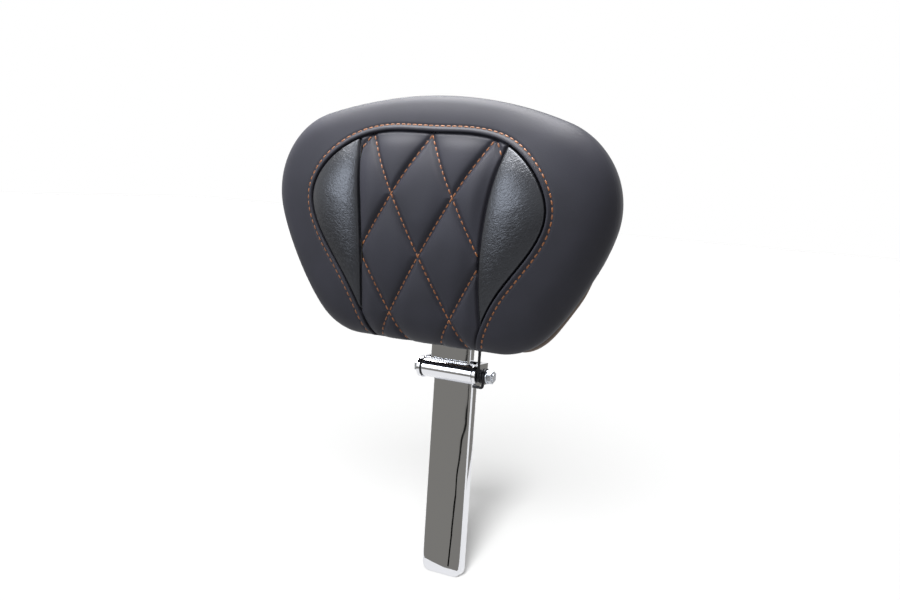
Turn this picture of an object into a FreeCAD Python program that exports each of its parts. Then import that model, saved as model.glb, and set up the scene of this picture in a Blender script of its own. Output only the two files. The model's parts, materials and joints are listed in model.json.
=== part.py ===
import FreeCAD, Part
import math
import os
import re
import Sketcher
from FreeCAD import Placement, Rotation, Vector

# Driver backrest: a quilted pad that folds forward on a sprung hinge, carried by a flat chrome post.
# The origin is the centre of the post's foot, +Z runs up the post and the pad's face looks along -Y.
# Pad and hinge sizes are measured from the hinge axis: heights up from it, depths forward of it.

doc = FreeCAD.newDocument("driver_backrest")

# Driving dimensions, in millimetres
DIMENSIONS = [
    # Post
    ("post_width", 38.1),
    ("post_thickness", 10.0),
    ("post_edge_radius", 2.5),
    ("foot_corner_radius", 8.0),
    ("detent_diameter", 7.0),
    ("detent_depth", 2.2),
    ("detent_slope", 45.0),
    ("detent_pitch", 19.0),
    ("detent_low", 24.0),
    ("detent_count", 4),
    # Hinge
    ("hinge_height", 176.5),
    ("hinge_offset", 9.5),
    ("barrel_diameter", 16.0),
    ("barrel_length", 48.4),
    ("barrel_edge", 0.8),
    ("post_gap", 1.5),
    ("bushing_wall", 1.0),
    ("bushing_length", 14.0),
    ("flange_thickness", 0.8),
    ("side_clearance", 0.2),
    ("press_clearance", 0.03),
    ("running_clearance", 0.05),
    ("ear_thickness", 3.0),
    ("ear_reach", 9.0),
    ("web_thickness", 4.0),
    ("web_clearance", 0.5),
    ("tab_width", 24.0),
    ("tab_top", 26.0),
    ("tab_corner_radius", 5.0),
    # Pivot bolt and its spring
    ("pivot_diameter", 6.0),
    ("hole_clearance", 0.2),
    ("pivot_head_flats", 10.0),
    ("pivot_head_height", 3.0),
    ("pivot_nut_flats", 10.0),
    ("pivot_nut_height", 3.6),
    ("pivot_tail", 1.0),
    ("washer_diameter", 12.0),
    ("washer_thickness", 1.0),
    ("spring_wire", 2.2),
    ("spring_radius", 5.4),
    ("spring_pitch", 2.4),
    ("spring_turns", 2),
    ("spring_side_gap", 0.4),
    ("spring_arm_height", 28.0),
    ("spring_arm_end", 8.0),
    ("spring_bend", 3.0),
    ("spring_seat_gap", 0.3),
    # Upright stop
    ("stop_height", 17.0),
    ("stop_diameter", 5.0),
    ("stop_length", 16.0),
    ("stop_gap", 0.3),
    ("stop_nut_flats", 8.0),
    ("stop_nut_height", 4.0),
    # Tongue and its bolts
    ("tongue_width", 38.1),
    ("tongue_thickness", 8.0),
    ("tongue_front", 2.0),
    ("tongue_top", 128.0),
    ("tongue_corner_radius", 9.0),
    ("tongue_edge_radius", 1.5),
    ("bolt_low", 62.0),
    ("bolt_pitch", 26.0),
    ("bolt_count", 3),
    ("bolt_diameter", 6.0),
    ("bolt_head_diameter", 11.0),
    ("bolt_head_height", 3.3),
    ("bolt_crown_diameter", 6.5),
    ("bolt_washer_diameter", 13.0),
    ("bolt_washer_thickness", 1.2),
    ("bolt_tip", 1.2),
    ("tee_flange_diameter", 18.0),
    ("tee_flange_thickness", 1.5),
    ("tee_sleeve_diameter", 8.0),
    # Pad outline at its widest
    ("pad_half_width", 154.0),
    ("pad_top", 222.0),
    ("pad_bottom", 27.0),
    ("top_radius", 350.0),
    ("upper_corner_radius", 65.0),
    ("lower_corner_radius", 55.0),
    ("lower_corner_x", 64.0),
    # Pad section, from the flat back through the rim to the crown
    ("back_depth", 2.0),
    ("back_inset", 20.0),
    ("heel_depth", 13.0),
    ("heel_inset", 5.0),
    ("rim_depth", 37.0),
    ("shoulder_depth", 47.5),
    ("shoulder_inset", 10.0),
    ("brow_depth", 54.0),
    ("brow_inset", 30.0),
    ("face_depth", 57.5),
    ("face_inset", 46.0),
    ("crown_depth", 61.0),
    ("crown_half_width", 70.0),
    ("crown_top", 152.0),
    ("crown_bottom", 92.0),
    ("crown_corner_radius", 24.0),
    ("crown_lower_x", 44.0),
    ("cover_thickness", 2.5),
    ("foam_clearance", 0.3),
    ("board_thickness", 6.0),
    ("board_inset", 28.0),
    ("welt_radius", 2.0),
    ("welt_seat", 0.2),
    # Inset panels and their quilting
    ("inset_top", 193.0),
    ("inset_shoulder_x", 74.0),
    ("inset_shoulder_z", 183.0),
    ("inset_half_width", 106.5),
    ("inset_widest_z", 141.0),
    ("inset_waist_x", 70.0),
    ("inset_waist_z", 73.0),
    ("inset_foot_x", 47.0),
    ("insert_top_x", 68.0),
    ("insert_waist_x", 54.0),
    ("insert_waist_z", 80.0),
    ("insert_foot_x", 57.5),
    ("diamond_half_width", 28.0),
    ("diamond_half_height", 47.0),
    ("diamond_centre_z", 96.5),
    ("groove_width", 3.0),
    ("groove_depth", 1.3),
]

sheet = doc.addObject("Spreadsheet::Sheet", "Sizes")
size = {}
for row, (alias, number) in enumerate(DIMENSIONS, start=1):
    sheet.set(f"A{row}", alias)
    sheet.set(f"B{row}", str(number))
    sheet.setAlias(f"B{row}", alias)
    size[alias] = number
doc.recompute()

# The sub-parts that are written out, by label
subparts = {}


def cells(expression):
    """The expression with each size name pointed at its cell of the sheet."""
    def cell(word):
        return f"Sizes.{word[0]}" if word[0] in size else word[0]

    return re.sub(r"[a-z][a-z_]+[a-z]", cell, expression)


def bind(thing, **expressions):
    for path, expression in expressions.items():
        thing.setExpression(path, cells(expression))


def place(thing, x="0", y="0", z="0", rotation=Rotation()):
    thing.Placement = Placement(Vector(), rotation)
    for path, expression in (("x", x), ("y", y), ("z", z)):
        thing.setExpression(f"Placement.Base.{path}", cells(expression))


def keep(thing, label):
    thing.Label = label
    subparts[label] = thing
    return thing


ALONG_X = Rotation(Vector(0, 1, 0), 90)
ALONG_Y = Rotation(Vector(1, 0, 0), -90)
HINGE_Y = "-hinge_offset"
HINGE_Z = "hinge_height"


def at_hinge(thing):
    place(thing, y=HINGE_Y, z=HINGE_Z)


# Bodies drawn from sketches

def new_body(name):
    return doc.addObject("PartDesign::Body", name + "_body")


def origin_feature(body, role):
    return next(feature for feature in body.Origin.OriginFeatures if feature.Role == role)


def new_sketch(body, name, plane, offset=None):
    """A sketch on one of the body's origin planes, moved along the plane's normal by offset."""
    sketch = body.newObject("Sketcher::SketchObject", name)
    sketch.AttachmentSupport = (origin_feature(body, plane), [""])
    sketch.MapMode = "FlatFace"
    if offset:
        sketch.setExpression("AttachmentOffset.Base.z", cells(offset))
    return sketch


def pin_point(sketch, geometry, point, across, up):
    """Fix a point of the sketch at two measured distances from its origin."""
    for kind, axis, expression in (("DistanceX", -2, across), ("DistanceY", -1, up)):
        if expression == "0":
            sketch.addConstraint(Sketcher.Constraint("PointOnObject", geometry, point, axis))
        else:
            index = sketch.addConstraint(Sketcher.Constraint(kind, -1, 1, geometry, point, 1.0))
            sketch.setExpression(f"Constraints[{index}]", cells(expression))


def draw_polygon(sketch, corners):
    count = len(corners)
    angles = [2 * math.pi * i / count for i in range(count)]
    guess = [Vector(math.cos(angle), math.sin(angle), 0) for angle in angles]
    for i in range(count):
        sketch.addGeometry(Part.LineSegment(guess[i], guess[(i + 1) % count]))
    for i in range(count):
        sketch.addConstraint(Sketcher.Constraint("Coincident", i, 2, (i + 1) % count, 1))
    for i, (across, up) in enumerate(corners):
        pin_point(sketch, i, 1, across, up)


def draw_circle(sketch, across, up, radius):
    index = sketch.addGeometry(Part.Circle(Vector(0, 0, 0), Vector(0, 0, 1), 1.0))
    pin_point(sketch, index, 3, across, up)
    datum = sketch.addConstraint(Sketcher.Constraint("Radius", index, 1.0))
    sketch.setExpression(f"Constraints[{datum}]", cells(radius))


def box_corners(half_width, low, high):
    return [(f"-({half_width})", low), (half_width, low), (half_width, high), (f"-({half_width})", high)]


def pad_out(body, name, sketch, length, both_ways=False):
    feature = body.newObject("PartDesign::Pad", name)
    feature.Profile = sketch
    feature.SideType = "Symmetric" if both_ways else "One side"
    bind(feature, Length=length)
    doc.recompute()
    return feature


def pocket(body, name, sketch, length=None):
    """A pocket of the given depth along the sketch's normal, or right through both ways."""
    before = body.Shape.Volume
    feature = body.newObject("PartDesign::Pocket", name)
    feature.Profile = sketch
    if length:
        bind(feature, Length=length)
    else:
        feature.Type = "ThroughAll"
        feature.SideType = "Symmetric"
    doc.recompute()
    if body.Shape.Volume >= before:
        raise ValueError(f"{name} cuts nothing")
    return feature


def fillet(body, name, base, radius, chosen):
    """Round those edges of the base feature for which chosen(edge) holds."""
    names = [f"Edge{i}" for i, edge in enumerate(base.Shape.Edges, start=1) if chosen(edge)]
    if not names:
        raise ValueError(f"{name} finds no edge")
    feature = body.newObject("PartDesign::Fillet", name)
    feature.Base = (base, names)
    bind(feature, Radius=radius)
    doc.recompute()
    return feature


def runs_along(edge, axis):
    """True for a straight edge parallel to the axis."""
    if edge.Curve.TypeId != "Part::GeomLine":
        return False
    return abs(abs(edge.Curve.Direction.dot(axis)) - 1) < 1e-6


def lies_at(edge, axis, value):
    """True for an edge that stays at one value along the axis."""
    near = 1e-4
    return all(abs(vertex.Point.dot(axis) - value) < near for vertex in edge.Vertexes)


X_AXIS = Vector(1, 0, 0)
Y_AXIS = Vector(0, 1, 0)
Z_AXIS = Vector(0, 0, 1)

# Flat bar with a rounded foot, softened edges and coned height detents along its rear face

POST_TOP = "(hinge_height - barrel_diameter / 2 - post_gap)"


def make_post():
    body = new_body("post")
    outline = new_sketch(body, "post_outline", "XZ_Plane")
    draw_polygon(outline, box_corners("post_width / 2", "0", POST_TOP))
    bar = pad_out(body, "post_bar", outline, "post_thickness", both_ways=True)
    foot = fillet(body, "post_foot", bar, "foot_corner_radius",
                  lambda edge: runs_along(edge, Y_AXIS) and lies_at(edge, Z_AXIS, 0))
    half = size["post_thickness"] / 2
    top = size["hinge_height"] - size["barrel_diameter"] / 2 - size["post_gap"]

    def long_edge(edge):
        on_face = lies_at(edge, Y_AXIS, half) or lies_at(edge, Y_AXIS, -half)
        return on_face and not lies_at(edge, Z_AXIS, top)

    fillet(body, "post_edges", foot, "post_edge_radius", long_edge)
    mouth = new_sketch(body, "detent_mouth", "XZ_Plane", "-post_thickness / 2")
    draw_circle(mouth, "0", "detent_low", "detent_diameter / 2")
    detent = pocket(body, "detent", mouth, "-detent_depth")
    bind(detent, TaperAngle="-detent_slope")
    row = body.newObject("PartDesign::LinearPattern", "detent_row")
    row.Originals = [detent]
    row.Direction = (origin_feature(body, "Z_Axis"), [""])
    row.Mode = "Spacing"
    bind(row, Offset="detent_pitch", Occurrences="detent_count")
    body.Tip = row
    return keep(body, "post")


# Fork welded on the post's top end: an ear at each end of the barrel and a tab for the stop screw

EAR_GAP = "(barrel_length + 2 * flange_thickness + 2 * side_clearance)"
EAR_OUTER = f"({EAR_GAP} / 2 + ear_thickness)"
WEB_FRONT = "(barrel_diameter / 2 + web_clearance)"
WEB_REAR = f"({WEB_FRONT} + web_thickness)"
YOKE_FOOT = "(barrel_diameter / 2 + post_gap)"
PIVOT_HOLE = "(pivot_diameter / 2 + hole_clearance)"


def make_hinge_yoke():
    body = new_body("hinge_yoke")
    side = new_sketch(body, "yoke_side", "YZ_Plane")
    draw_polygon(side, [("-ear_reach", "-ear_reach"), (WEB_REAR, "-ear_reach"),
                        (WEB_REAR, "ear_reach"), ("-ear_reach", "ear_reach")])
    block = pad_out(body, "yoke_block", side, f"2 * {EAR_OUTER}", both_ways=True)
    reach = size["ear_reach"]
    nose = fillet(body, "yoke_nose", block, "ear_reach * 0.98",
                  lambda edge: runs_along(edge, X_AXIS) and lies_at(edge, Y_AXIS, -reach))
    plan = new_sketch(body, "yoke_plan", "XY_Plane")
    draw_polygon(plan, box_corners(f"{EAR_GAP} / 2", "-2 * ear_reach", WEB_FRONT))
    pocket(body, "yoke_gap", plan)
    tab = new_sketch(body, "yoke_tab_face", "XZ_Plane", f"-{WEB_REAR}")
    draw_polygon(tab, box_corners("tab_width / 2", "0", "tab_top"))
    raised = pad_out(body, "yoke_tab", tab, "web_thickness")
    top = size["tab_top"]
    fillet(body, "yoke_tab_corners", raised, "tab_corner_radius",
           lambda edge: runs_along(edge, Y_AXIS) and lies_at(edge, Z_AXIS, top))
    stem = new_sketch(body, "yoke_stem_face", "XZ_Plane", f"-{WEB_REAR}")
    draw_polygon(stem, box_corners("post_width / 2", f"-{YOKE_FOOT}", "0"))
    pad_out(body, "yoke_stem", stem, "web_thickness")
    pivot = new_sketch(body, "yoke_pivot", "YZ_Plane")
    draw_circle(pivot, "0", "0", PIVOT_HOLE)
    pocket(body, "yoke_pivot_hole", pivot)
    stop = new_sketch(body, "yoke_stop", "XZ_Plane")
    draw_circle(stop, "0", "stop_height", "stop_diameter / 2 + press_clearance")
    pocket(body, "yoke_stop_hole", stop)
    at_hinge(body)
    return keep(body, "hinge_yoke")


# Barrel: a plain tube, its end edges eased

BUSHING_BORE = "(pivot_diameter / 2 + running_clearance)"
BUSHING_OUTER = f"({BUSHING_BORE} + bushing_wall)"


def make_hinge_barrel():
    body = new_body("hinge_barrel")
    ring = new_sketch(body, "barrel_ring", "YZ_Plane")
    draw_circle(ring, "0", "0", "barrel_diameter / 2")
    draw_circle(ring, "0", "0", f"{BUSHING_OUTER} + press_clearance")
    tube = pad_out(body, "barrel_tube", ring, "barrel_length", both_ways=True)
    outer = size["barrel_diameter"] / 2

    def rim(edge):
        return edge.Curve.TypeId == "Part::GeomCircle" and abs(edge.Curve.Radius - outer) < 1e-4

    fillet(body, "barrel_rims", tube, "barrel_edge", rim)
    at_hinge(body)
    return keep(body, "hinge_barrel")


# Two flanged bushings, turned from nylon rod, pressed into the barrel's ends

def make_barrel_bushings():
    body = new_body("bushing")
    section = new_sketch(body, "bushing_section", "XY_Plane")
    inner_end = "(barrel_length / 2 - bushing_length)"
    outer_end = "(barrel_length / 2 + flange_thickness)"
    flange = "barrel_diameter / 2"
    draw_polygon(section, [(inner_end, BUSHING_BORE), (outer_end, BUSHING_BORE), (outer_end, flange),
                           ("barrel_length / 2", flange), ("barrel_length / 2", BUSHING_OUTER),
                           (inner_end, BUSHING_OUTER)])
    turned = body.newObject("PartDesign::Revolution", "bushing_turned")
    turned.Profile = section
    turned.ReferenceAxis = (origin_feature(body, "X_Axis"), [""])
    doc.recompute()
    mirrored = doc.addObject("Part::Mirroring", "bushing_left")
    mirrored.Source = body
    mirrored.Normal = X_AXIS
    pair = doc.addObject("Part::Compound", "bushing_pair")
    pair.Links = [body, mirrored]
    at_hinge(pair)
    return keep(pair, "barrel_bushings")


# Tongue: flat bar, its lower end coped round the barrel, with a row of bolt holes

def make_tongue():
    body = new_body("tongue")
    outline = new_sketch(body, "tongue_outline", "XZ_Plane", "tongue_front - tongue_thickness")
    draw_polygon(outline, box_corners("tongue_width / 2", "barrel_diameter / 4", "tongue_top"))
    bar = pad_out(body, "tongue_bar", outline, "tongue_thickness")
    top = size["tongue_top"]
    rounded = fillet(body, "tongue_corners", bar, "tongue_corner_radius",
                     lambda edge: runs_along(edge, Y_AXIS) and lies_at(edge, Z_AXIS, top))
    low = size["barrel_diameter"] / 4
    front = -size["tongue_front"]
    rear = front + size["tongue_thickness"]

    def face_edge(edge):
        on_face = lies_at(edge, Y_AXIS, front) or lies_at(edge, Y_AXIS, rear)
        return on_face and not lies_at(edge, Z_AXIS, low)

    fillet(body, "tongue_edges", rounded, "tongue_edge_radius", face_edge)
    cope = new_sketch(body, "tongue_cope", "YZ_Plane")
    draw_circle(cope, "0", "0", "barrel_diameter / 2 + press_clearance")
    pocket(body, "tongue_saddle", cope)
    holes = new_sketch(body, "tongue_hole", "XZ_Plane")
    draw_circle(holes, "0", "bolt_low", "bolt_diameter / 2 + hole_clearance")
    hole = pocket(body, "tongue_bolt_hole", holes)
    row = body.newObject("PartDesign::LinearPattern", "tongue_hole_row")
    row.Originals = [hole]
    row.Direction = (origin_feature(body, "Z_Axis"), [""])
    row.Mode = "Spacing"
    bind(row, Offset="bolt_pitch", Occurrences="bolt_count")
    body.Tip = row
    at_hinge(body)
    return keep(body, "tongue")


# Turned and hexagonal hardware from primitives

def cylinder(name, radius, height, x, y, z, rotation):
    thing = doc.addObject("Part::Cylinder", name)
    bind(thing, Radius=radius, Height=height)
    place(thing, x, y, z, rotation)
    return thing


def hexagon(name, flats, height, x, y, z, rotation):
    thing = doc.addObject("Part::Prism", name)
    thing.Polygon = 6
    bind(thing, Circumradius=f"{flats} / sqrt(3)", Height=height)
    place(thing, x, y, z, rotation)
    return thing


def cone(name, radius, tip_radius, height, x, y, z, rotation):
    thing = doc.addObject("Part::Cone", name)
    bind(thing, Radius1=radius, Radius2=tip_radius, Height=height)
    place(thing, x, y, z, rotation)
    return thing


def fuse(name, base, tool):
    thing = doc.addObject("Part::Fuse", name)
    thing.Base = base
    thing.Tool = tool
    return thing


def cut(name, base, tool):
    thing = doc.addObject("Part::Cut", name)
    thing.Base = base
    thing.Tool = tool
    return thing


def group(name, things):
    thing = doc.addObject("Part::Compound", name)
    thing.Links = things
    return thing


# Pivot bolt through both ears, with a washer under its head and one under the nut beyond the spring

HEAD_WASHER_X = f"(-{EAR_OUTER} - washer_thickness)"
SPRING_START = f"({EAR_OUTER} + spring_side_gap + spring_wire / 2)"
SPRING_END = f"({SPRING_START} + spring_pitch * spring_turns)"
NUT_WASHER_X = f"({SPRING_END} + spring_wire / 2 + spring_side_gap)"
NUT_X = f"({NUT_WASHER_X} + washer_thickness)"
PIVOT_END = f"({NUT_X} + pivot_nut_height + pivot_tail)"


def make_pivot_bolt():
    shank = cylinder("pivot_shank", "pivot_diameter / 2", f"{PIVOT_END} - {HEAD_WASHER_X}",
                     HEAD_WASHER_X, HINGE_Y, HINGE_Z, ALONG_X)
    head = hexagon("pivot_head", "pivot_head_flats", "pivot_head_height",
                   f"{HEAD_WASHER_X} - pivot_head_height", HINGE_Y, HINGE_Z, ALONG_X)
    return keep(fuse("pivot", head, shank), "pivot_bolt")


def bored_disc(name, diameter, thickness, bore, x, y, z, rotation):
    disc = cylinder(name + "_disc", f"{diameter} / 2", thickness, x, y, z, rotation)
    hole = cylinder(name + "_bore", bore, thickness, x, y, z, rotation)
    return cut(name, disc, hole)


def make_pivot_washers():
    washers = [bored_disc(f"pivot_washer_{side}", "washer_diameter", "washer_thickness", PIVOT_HOLE,
                          x, HINGE_Y, HINGE_Z, ALONG_X)
               for side, x in (("left", HEAD_WASHER_X), ("right", NUT_WASHER_X))]
    return keep(group("pivot_washer_pair", washers), "pivot_washers")


def make_pivot_nut():
    blank = hexagon("pivot_nut_blank", "pivot_nut_flats", "pivot_nut_height",
                    NUT_X, HINGE_Y, HINGE_Z, ALONG_X)
    bore = cylinder("pivot_nut_bore", "pivot_diameter / 2 + press_clearance", "pivot_nut_height",
                    NUT_X, HINGE_Y, HINGE_Z, ALONG_X)
    return keep(cut("pivot_nut_cut", blank, bore), "pivot_nut")


# Stop screw through the yoke's tab, bearing on the tongue's back, and its jam nut

TONGUE_REAR = "(tongue_thickness - tongue_front)"
STOP_Z = "hinge_height + stop_height"


def make_stop_screw():
    screw = cylinder("stop_rod", "stop_diameter / 2", "stop_length",
                     "0", f"{TONGUE_REAR} + stop_gap - hinge_offset", STOP_Z, ALONG_Y)
    return keep(screw, "stop_screw")


def make_stop_jam_nut():
    y = f"{WEB_REAR} - hinge_offset"
    blank = hexagon("stop_nut_blank", "stop_nut_flats", "stop_nut_height", "0", y, STOP_Z, ALONG_Y)
    bore = cylinder("stop_nut_bore", "stop_diameter / 2 + press_clearance", "stop_nut_height",
                    "0", y, STOP_Z, ALONG_Y)
    return keep(cut("stop_nut_cut", blank, bore), "stop_jam_nut")


# Bolts through the tongue into nuts in the board, one set at each height of the row

BOARD_REAR = "(back_depth + cover_thickness + foam_clearance)"
BOARD_FRONT = f"({BOARD_REAR} + board_thickness)"
TEE_FRONT = f"({BOARD_FRONT} + tee_flange_thickness)"
HEAD_SEAT = f"({TONGUE_REAR} + bolt_washer_thickness)"


def bolt_heights():
    return [f"hinge_height + bolt_low + {i} * bolt_pitch" for i in range(int(size["bolt_count"]))]


def make_tongue_bolts():
    bolts = []
    for i, z in enumerate(bolt_heights()):
        shank = cylinder(f"tongue_shank_{i}", "bolt_diameter / 2", f"{HEAD_SEAT} + {TEE_FRONT} + bolt_tip",
                         "0", f"-hinge_offset - {TEE_FRONT} - bolt_tip", z, ALONG_Y)
        head = cone(f"tongue_head_{i}", "bolt_head_diameter / 2", "bolt_crown_diameter / 2",
                    "bolt_head_height", "0", f"{HEAD_SEAT} - hinge_offset", z, ALONG_Y)
        bolts.append(fuse(f"tongue_bolt_{i}", head, shank))
    return keep(group("tongue_bolt_row", bolts), "tongue_bolts")


def make_tongue_washers():
    bore = "bolt_diameter / 2 + hole_clearance"
    washers = [bored_disc(f"tongue_washer_{i}", "bolt_washer_diameter", "bolt_washer_thickness", bore,
                          "0", f"{TONGUE_REAR} - hinge_offset", z, ALONG_Y)
               for i, z in enumerate(bolt_heights())]
    return keep(group("tongue_washer_row", washers), "tongue_washers")


def make_tee_nuts():
    nuts = []
    for i, z in enumerate(bolt_heights()):
        front_y = f"-hinge_offset - {TEE_FRONT}"
        flange = cylinder(f"tee_flange_{i}", "tee_flange_diameter / 2", "tee_flange_thickness",
                          "0", front_y, z, ALONG_Y)
        sleeve = cylinder(f"tee_sleeve_{i}", "tee_sleeve_diameter / 2", "board_thickness",
                          "0", f"-hinge_offset - {BOARD_FRONT}", z, ALONG_Y)
        bore = cylinder(f"tee_bore_{i}", "bolt_diameter / 2 + press_clearance",
                        "board_thickness + tee_flange_thickness", "0", front_y, z, ALONG_Y)
        nuts.append(cut(f"tee_nut_{i}", fuse(f"tee_blank_{i}", flange, sleeve), bore))
    return keep(group("tee_nut_row", nuts), "tee_nuts")


# Black torsion spring round the pivot bolt: one arm lies on the tongue, its tail bears on the right ear

# Straight lengths that stand for each turn of the coil, each bend and the round of the wire
COIL_STEPS = 12
BEND_STEPS = 3
WIRE_SIDES = 8


def rounded_corner(before, corner, after, bend):
    """Points along an arc that rounds the corner between two straight legs."""
    into = (before - corner).normalize()
    out = (after - corner).normalize()
    half_angle = into.getAngle(out) / 2
    centre = corner + (into + out).normalize() * (bend / math.sin(half_angle))
    first = corner + into * (bend / math.tan(half_angle)) - centre
    axis = into.cross(out)
    turn = 180 - 2 * math.degrees(half_angle)
    return [centre + Rotation(axis, -turn * i / BEND_STEPS).multVec(first) for i in range(BEND_STEPS + 1)]


def make_torsion_spring():
    radius = size["spring_radius"]
    wire = size["spring_wire"] / 2
    bend = size["spring_bend"]
    ear_gap = size["barrel_length"] + 2 * size["flange_thickness"] + 2 * size["side_clearance"]
    ear_outer = ear_gap / 2 + size["ear_thickness"]
    coil_start = ear_outer + size["spring_side_gap"] + wire
    turns = int(size["spring_turns"])
    coil = []
    for i in range(turns * COIL_STEPS + 1):
        angle = 2 * math.pi * i / COIL_STEPS
        along = coil_start + size["spring_pitch"] * i / COIL_STEPS
        coil.append(Vector(along, -radius * math.cos(angle), -radius * math.sin(angle)))
    arm_y = -size["tongue_front"] - wire - size["spring_seat_gap"]
    arm_end = Vector(size["spring_arm_end"], arm_y, size["spring_arm_height"])
    arm_corner = Vector(coil_start, -radius, size["spring_arm_height"])
    tail_reach = size["ear_reach"] + wire + size["spring_seat_gap"]
    tail_z = -math.sqrt(tail_reach ** 2 - radius ** 2)
    tail_corner = Vector(coil[-1].x, -radius, tail_z)
    tail_end = Vector(ear_gap / 2, -radius, tail_z)
    centres = [arm_end] + rounded_corner(arm_end, arm_corner, coil[0], bend) + coil
    centres += rounded_corner(coil[-1], tail_corner, tail_end, bend) + [tail_end]
    # A polygon of the same area as the round wire
    corner_reach = wire * math.sqrt(2 * math.pi / (WIRE_SIDES * math.sin(2 * math.pi / WIRE_SIDES)))
    facing = Rotation(Z_AXIS, centres[1] - centres[0])
    section = []
    for i in range(WIRE_SIDES + 1):
        angle = 2 * math.pi * i / WIRE_SIDES
        section.append(arm_end + facing.multVec(Vector(math.cos(angle), math.sin(angle), 0) * corner_reach))
    sweep = Part.BRepOffsetAPI.MakePipeShell(Part.makePolygon(centres))
    mitred = 1
    sweep.setTransitionMode(mitred)
    sweep.add(Part.makePolygon(section))
    sweep.build()
    sweep.makeSolid()
    spring = doc.addObject("Part::Feature", "spring")
    spring.Shape = sweep.shape()
    spring.Placement = Placement(Vector(0, -size["hinge_offset"], size["hinge_height"]), Rotation())
    return keep(spring, "torsion_spring")


# Pad outline: a flat bottom, two corner arcs a side with a straight flank between them, and a shallow top arc

def tangent_outline(half_width, top, bottom, top_r, upper_r, lower_r, lower_x, y):
    top_centre = Vector(0, y, top - top_r)
    upper_x = half_width - upper_r
    upper = Vector(upper_x, y, top_centre.z + math.sqrt((top_r - upper_r) ** 2 - upper_x ** 2))
    lower = Vector(lower_x, y, bottom + lower_r)
    between = upper - lower
    flank = math.atan2(between.z, between.x) - math.acos((lower_r - upper_r) / between.Length)
    shoulder = math.atan2(upper.z - top_centre.z, upper_x)

    def on(centre, radius, angle):
        return centre + Vector(math.cos(angle), 0, math.sin(angle)) * radius

    def arc(centre, radius, start, end):
        ends = [on(centre, radius, angle) for angle in (start, (start + end) / 2, end)]
        return Part.Arc(*ends)

    def mirror(point):
        return Vector(-point.x, point.y, point.z)

    half_turn = math.pi
    left_lower = mirror(lower)
    left_upper = mirror(upper)
    pieces = [
        Part.LineSegment(on(left_lower, lower_r, -half_turn / 2), on(lower, lower_r, -half_turn / 2)),
        arc(lower, lower_r, -half_turn / 2, flank),
        Part.LineSegment(on(lower, lower_r, flank), on(upper, upper_r, flank)),
        arc(upper, upper_r, flank, shoulder),
        arc(top_centre, top_r, shoulder, half_turn - shoulder),
        arc(left_upper, upper_r, half_turn - shoulder, half_turn - flank),
        Part.LineSegment(on(left_upper, upper_r, half_turn - flank),
                         on(left_lower, lower_r, half_turn - flank)),
        arc(left_lower, lower_r, half_turn - flank, 3 * half_turn / 2),
    ]
    return Part.Wire([piece.toShape() for piece in pieces])


def pad_outline(inset, depth):
    return tangent_outline(size["pad_half_width"] - inset, size["pad_top"] - inset,
                           size["pad_bottom"] + inset, size["top_radius"] - inset,
                           size["upper_corner_radius"] - inset,
                           size["lower_corner_radius"] - inset, size["lower_corner_x"], -depth)


# How the pad's skin runs at each ring of its section: its lean inward and its lean back
HEEL_LEAN = (0.85, -0.5)
RIM_LEAN = (1.0, 0.0)
SHOULDER_LEAN = (0.7, 0.7)
BROW_LEAN = (0.25, 0.97)
FACE_LEAN = (0.1, 1.0)


def pad_envelope(skin):
    """The pad's crowned form, drawn in by skin all round."""
    def ring(name, lean):
        inset = size.get(name + "_inset", 0)
        return pad_outline(inset + skin * lean[0], size[name + "_depth"] - skin * lean[1])

    back = pad_outline(size["back_inset"] + skin * HEEL_LEAN[0], size["back_depth"] + skin)
    corner = size["crown_corner_radius"]
    crown = tangent_outline(size["crown_half_width"], size["crown_top"], size["crown_bottom"], size["top_radius"],
                            corner, corner, size["crown_lower_x"], skin - size["crown_depth"])
    rings = [back, ring("heel", HEEL_LEAN), ring("rim", RIM_LEAN), ring("shoulder", SHOULDER_LEAN),
             ring("brow", BROW_LEAN), ring("face", FACE_LEAN), crown]
    return Part.makeLoft(rings, True, False)


FAR = 40.0


def inset_prism():
    """The field of the inset panels, from the pad's rim forward."""
    y = -size["rim_depth"]
    tail = size["pad_bottom"] - FAR / 2
    half = [Vector(0, y, size["inset_top"]),
            Vector(size["inset_shoulder_x"], y, size["inset_shoulder_z"]),
            Vector(size["inset_half_width"], y, size["inset_widest_z"]),
            Vector(size["inset_waist_x"], y, size["inset_waist_z"]),
            Vector(size["inset_foot_x"], y, size["pad_bottom"]),
            Vector(size["inset_foot_x"], y, tail)]
    right = Part.BSplineCurve()
    right.interpolate(Points=half, InitialTangent=Vector(1, 0, 0), FinalTangent=Vector(0, 0, -1))
    left = Part.BSplineCurve()
    left.interpolate(Points=[Vector(-p.x, p.y, p.z) for p in half], InitialTangent=Vector(-1, 0, 0),
                     FinalTangent=Vector(0, 0, -1))
    foot = Part.LineSegment(half[-1], Vector(-half[-1].x, y, tail))
    field = Part.Face(Part.Wire(Part.sortEdges([right.toShape(), foot.toShape(), left.toShape()])[0]))
    return field.extrude(Vector(0, -size["crown_depth"], 0))


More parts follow.
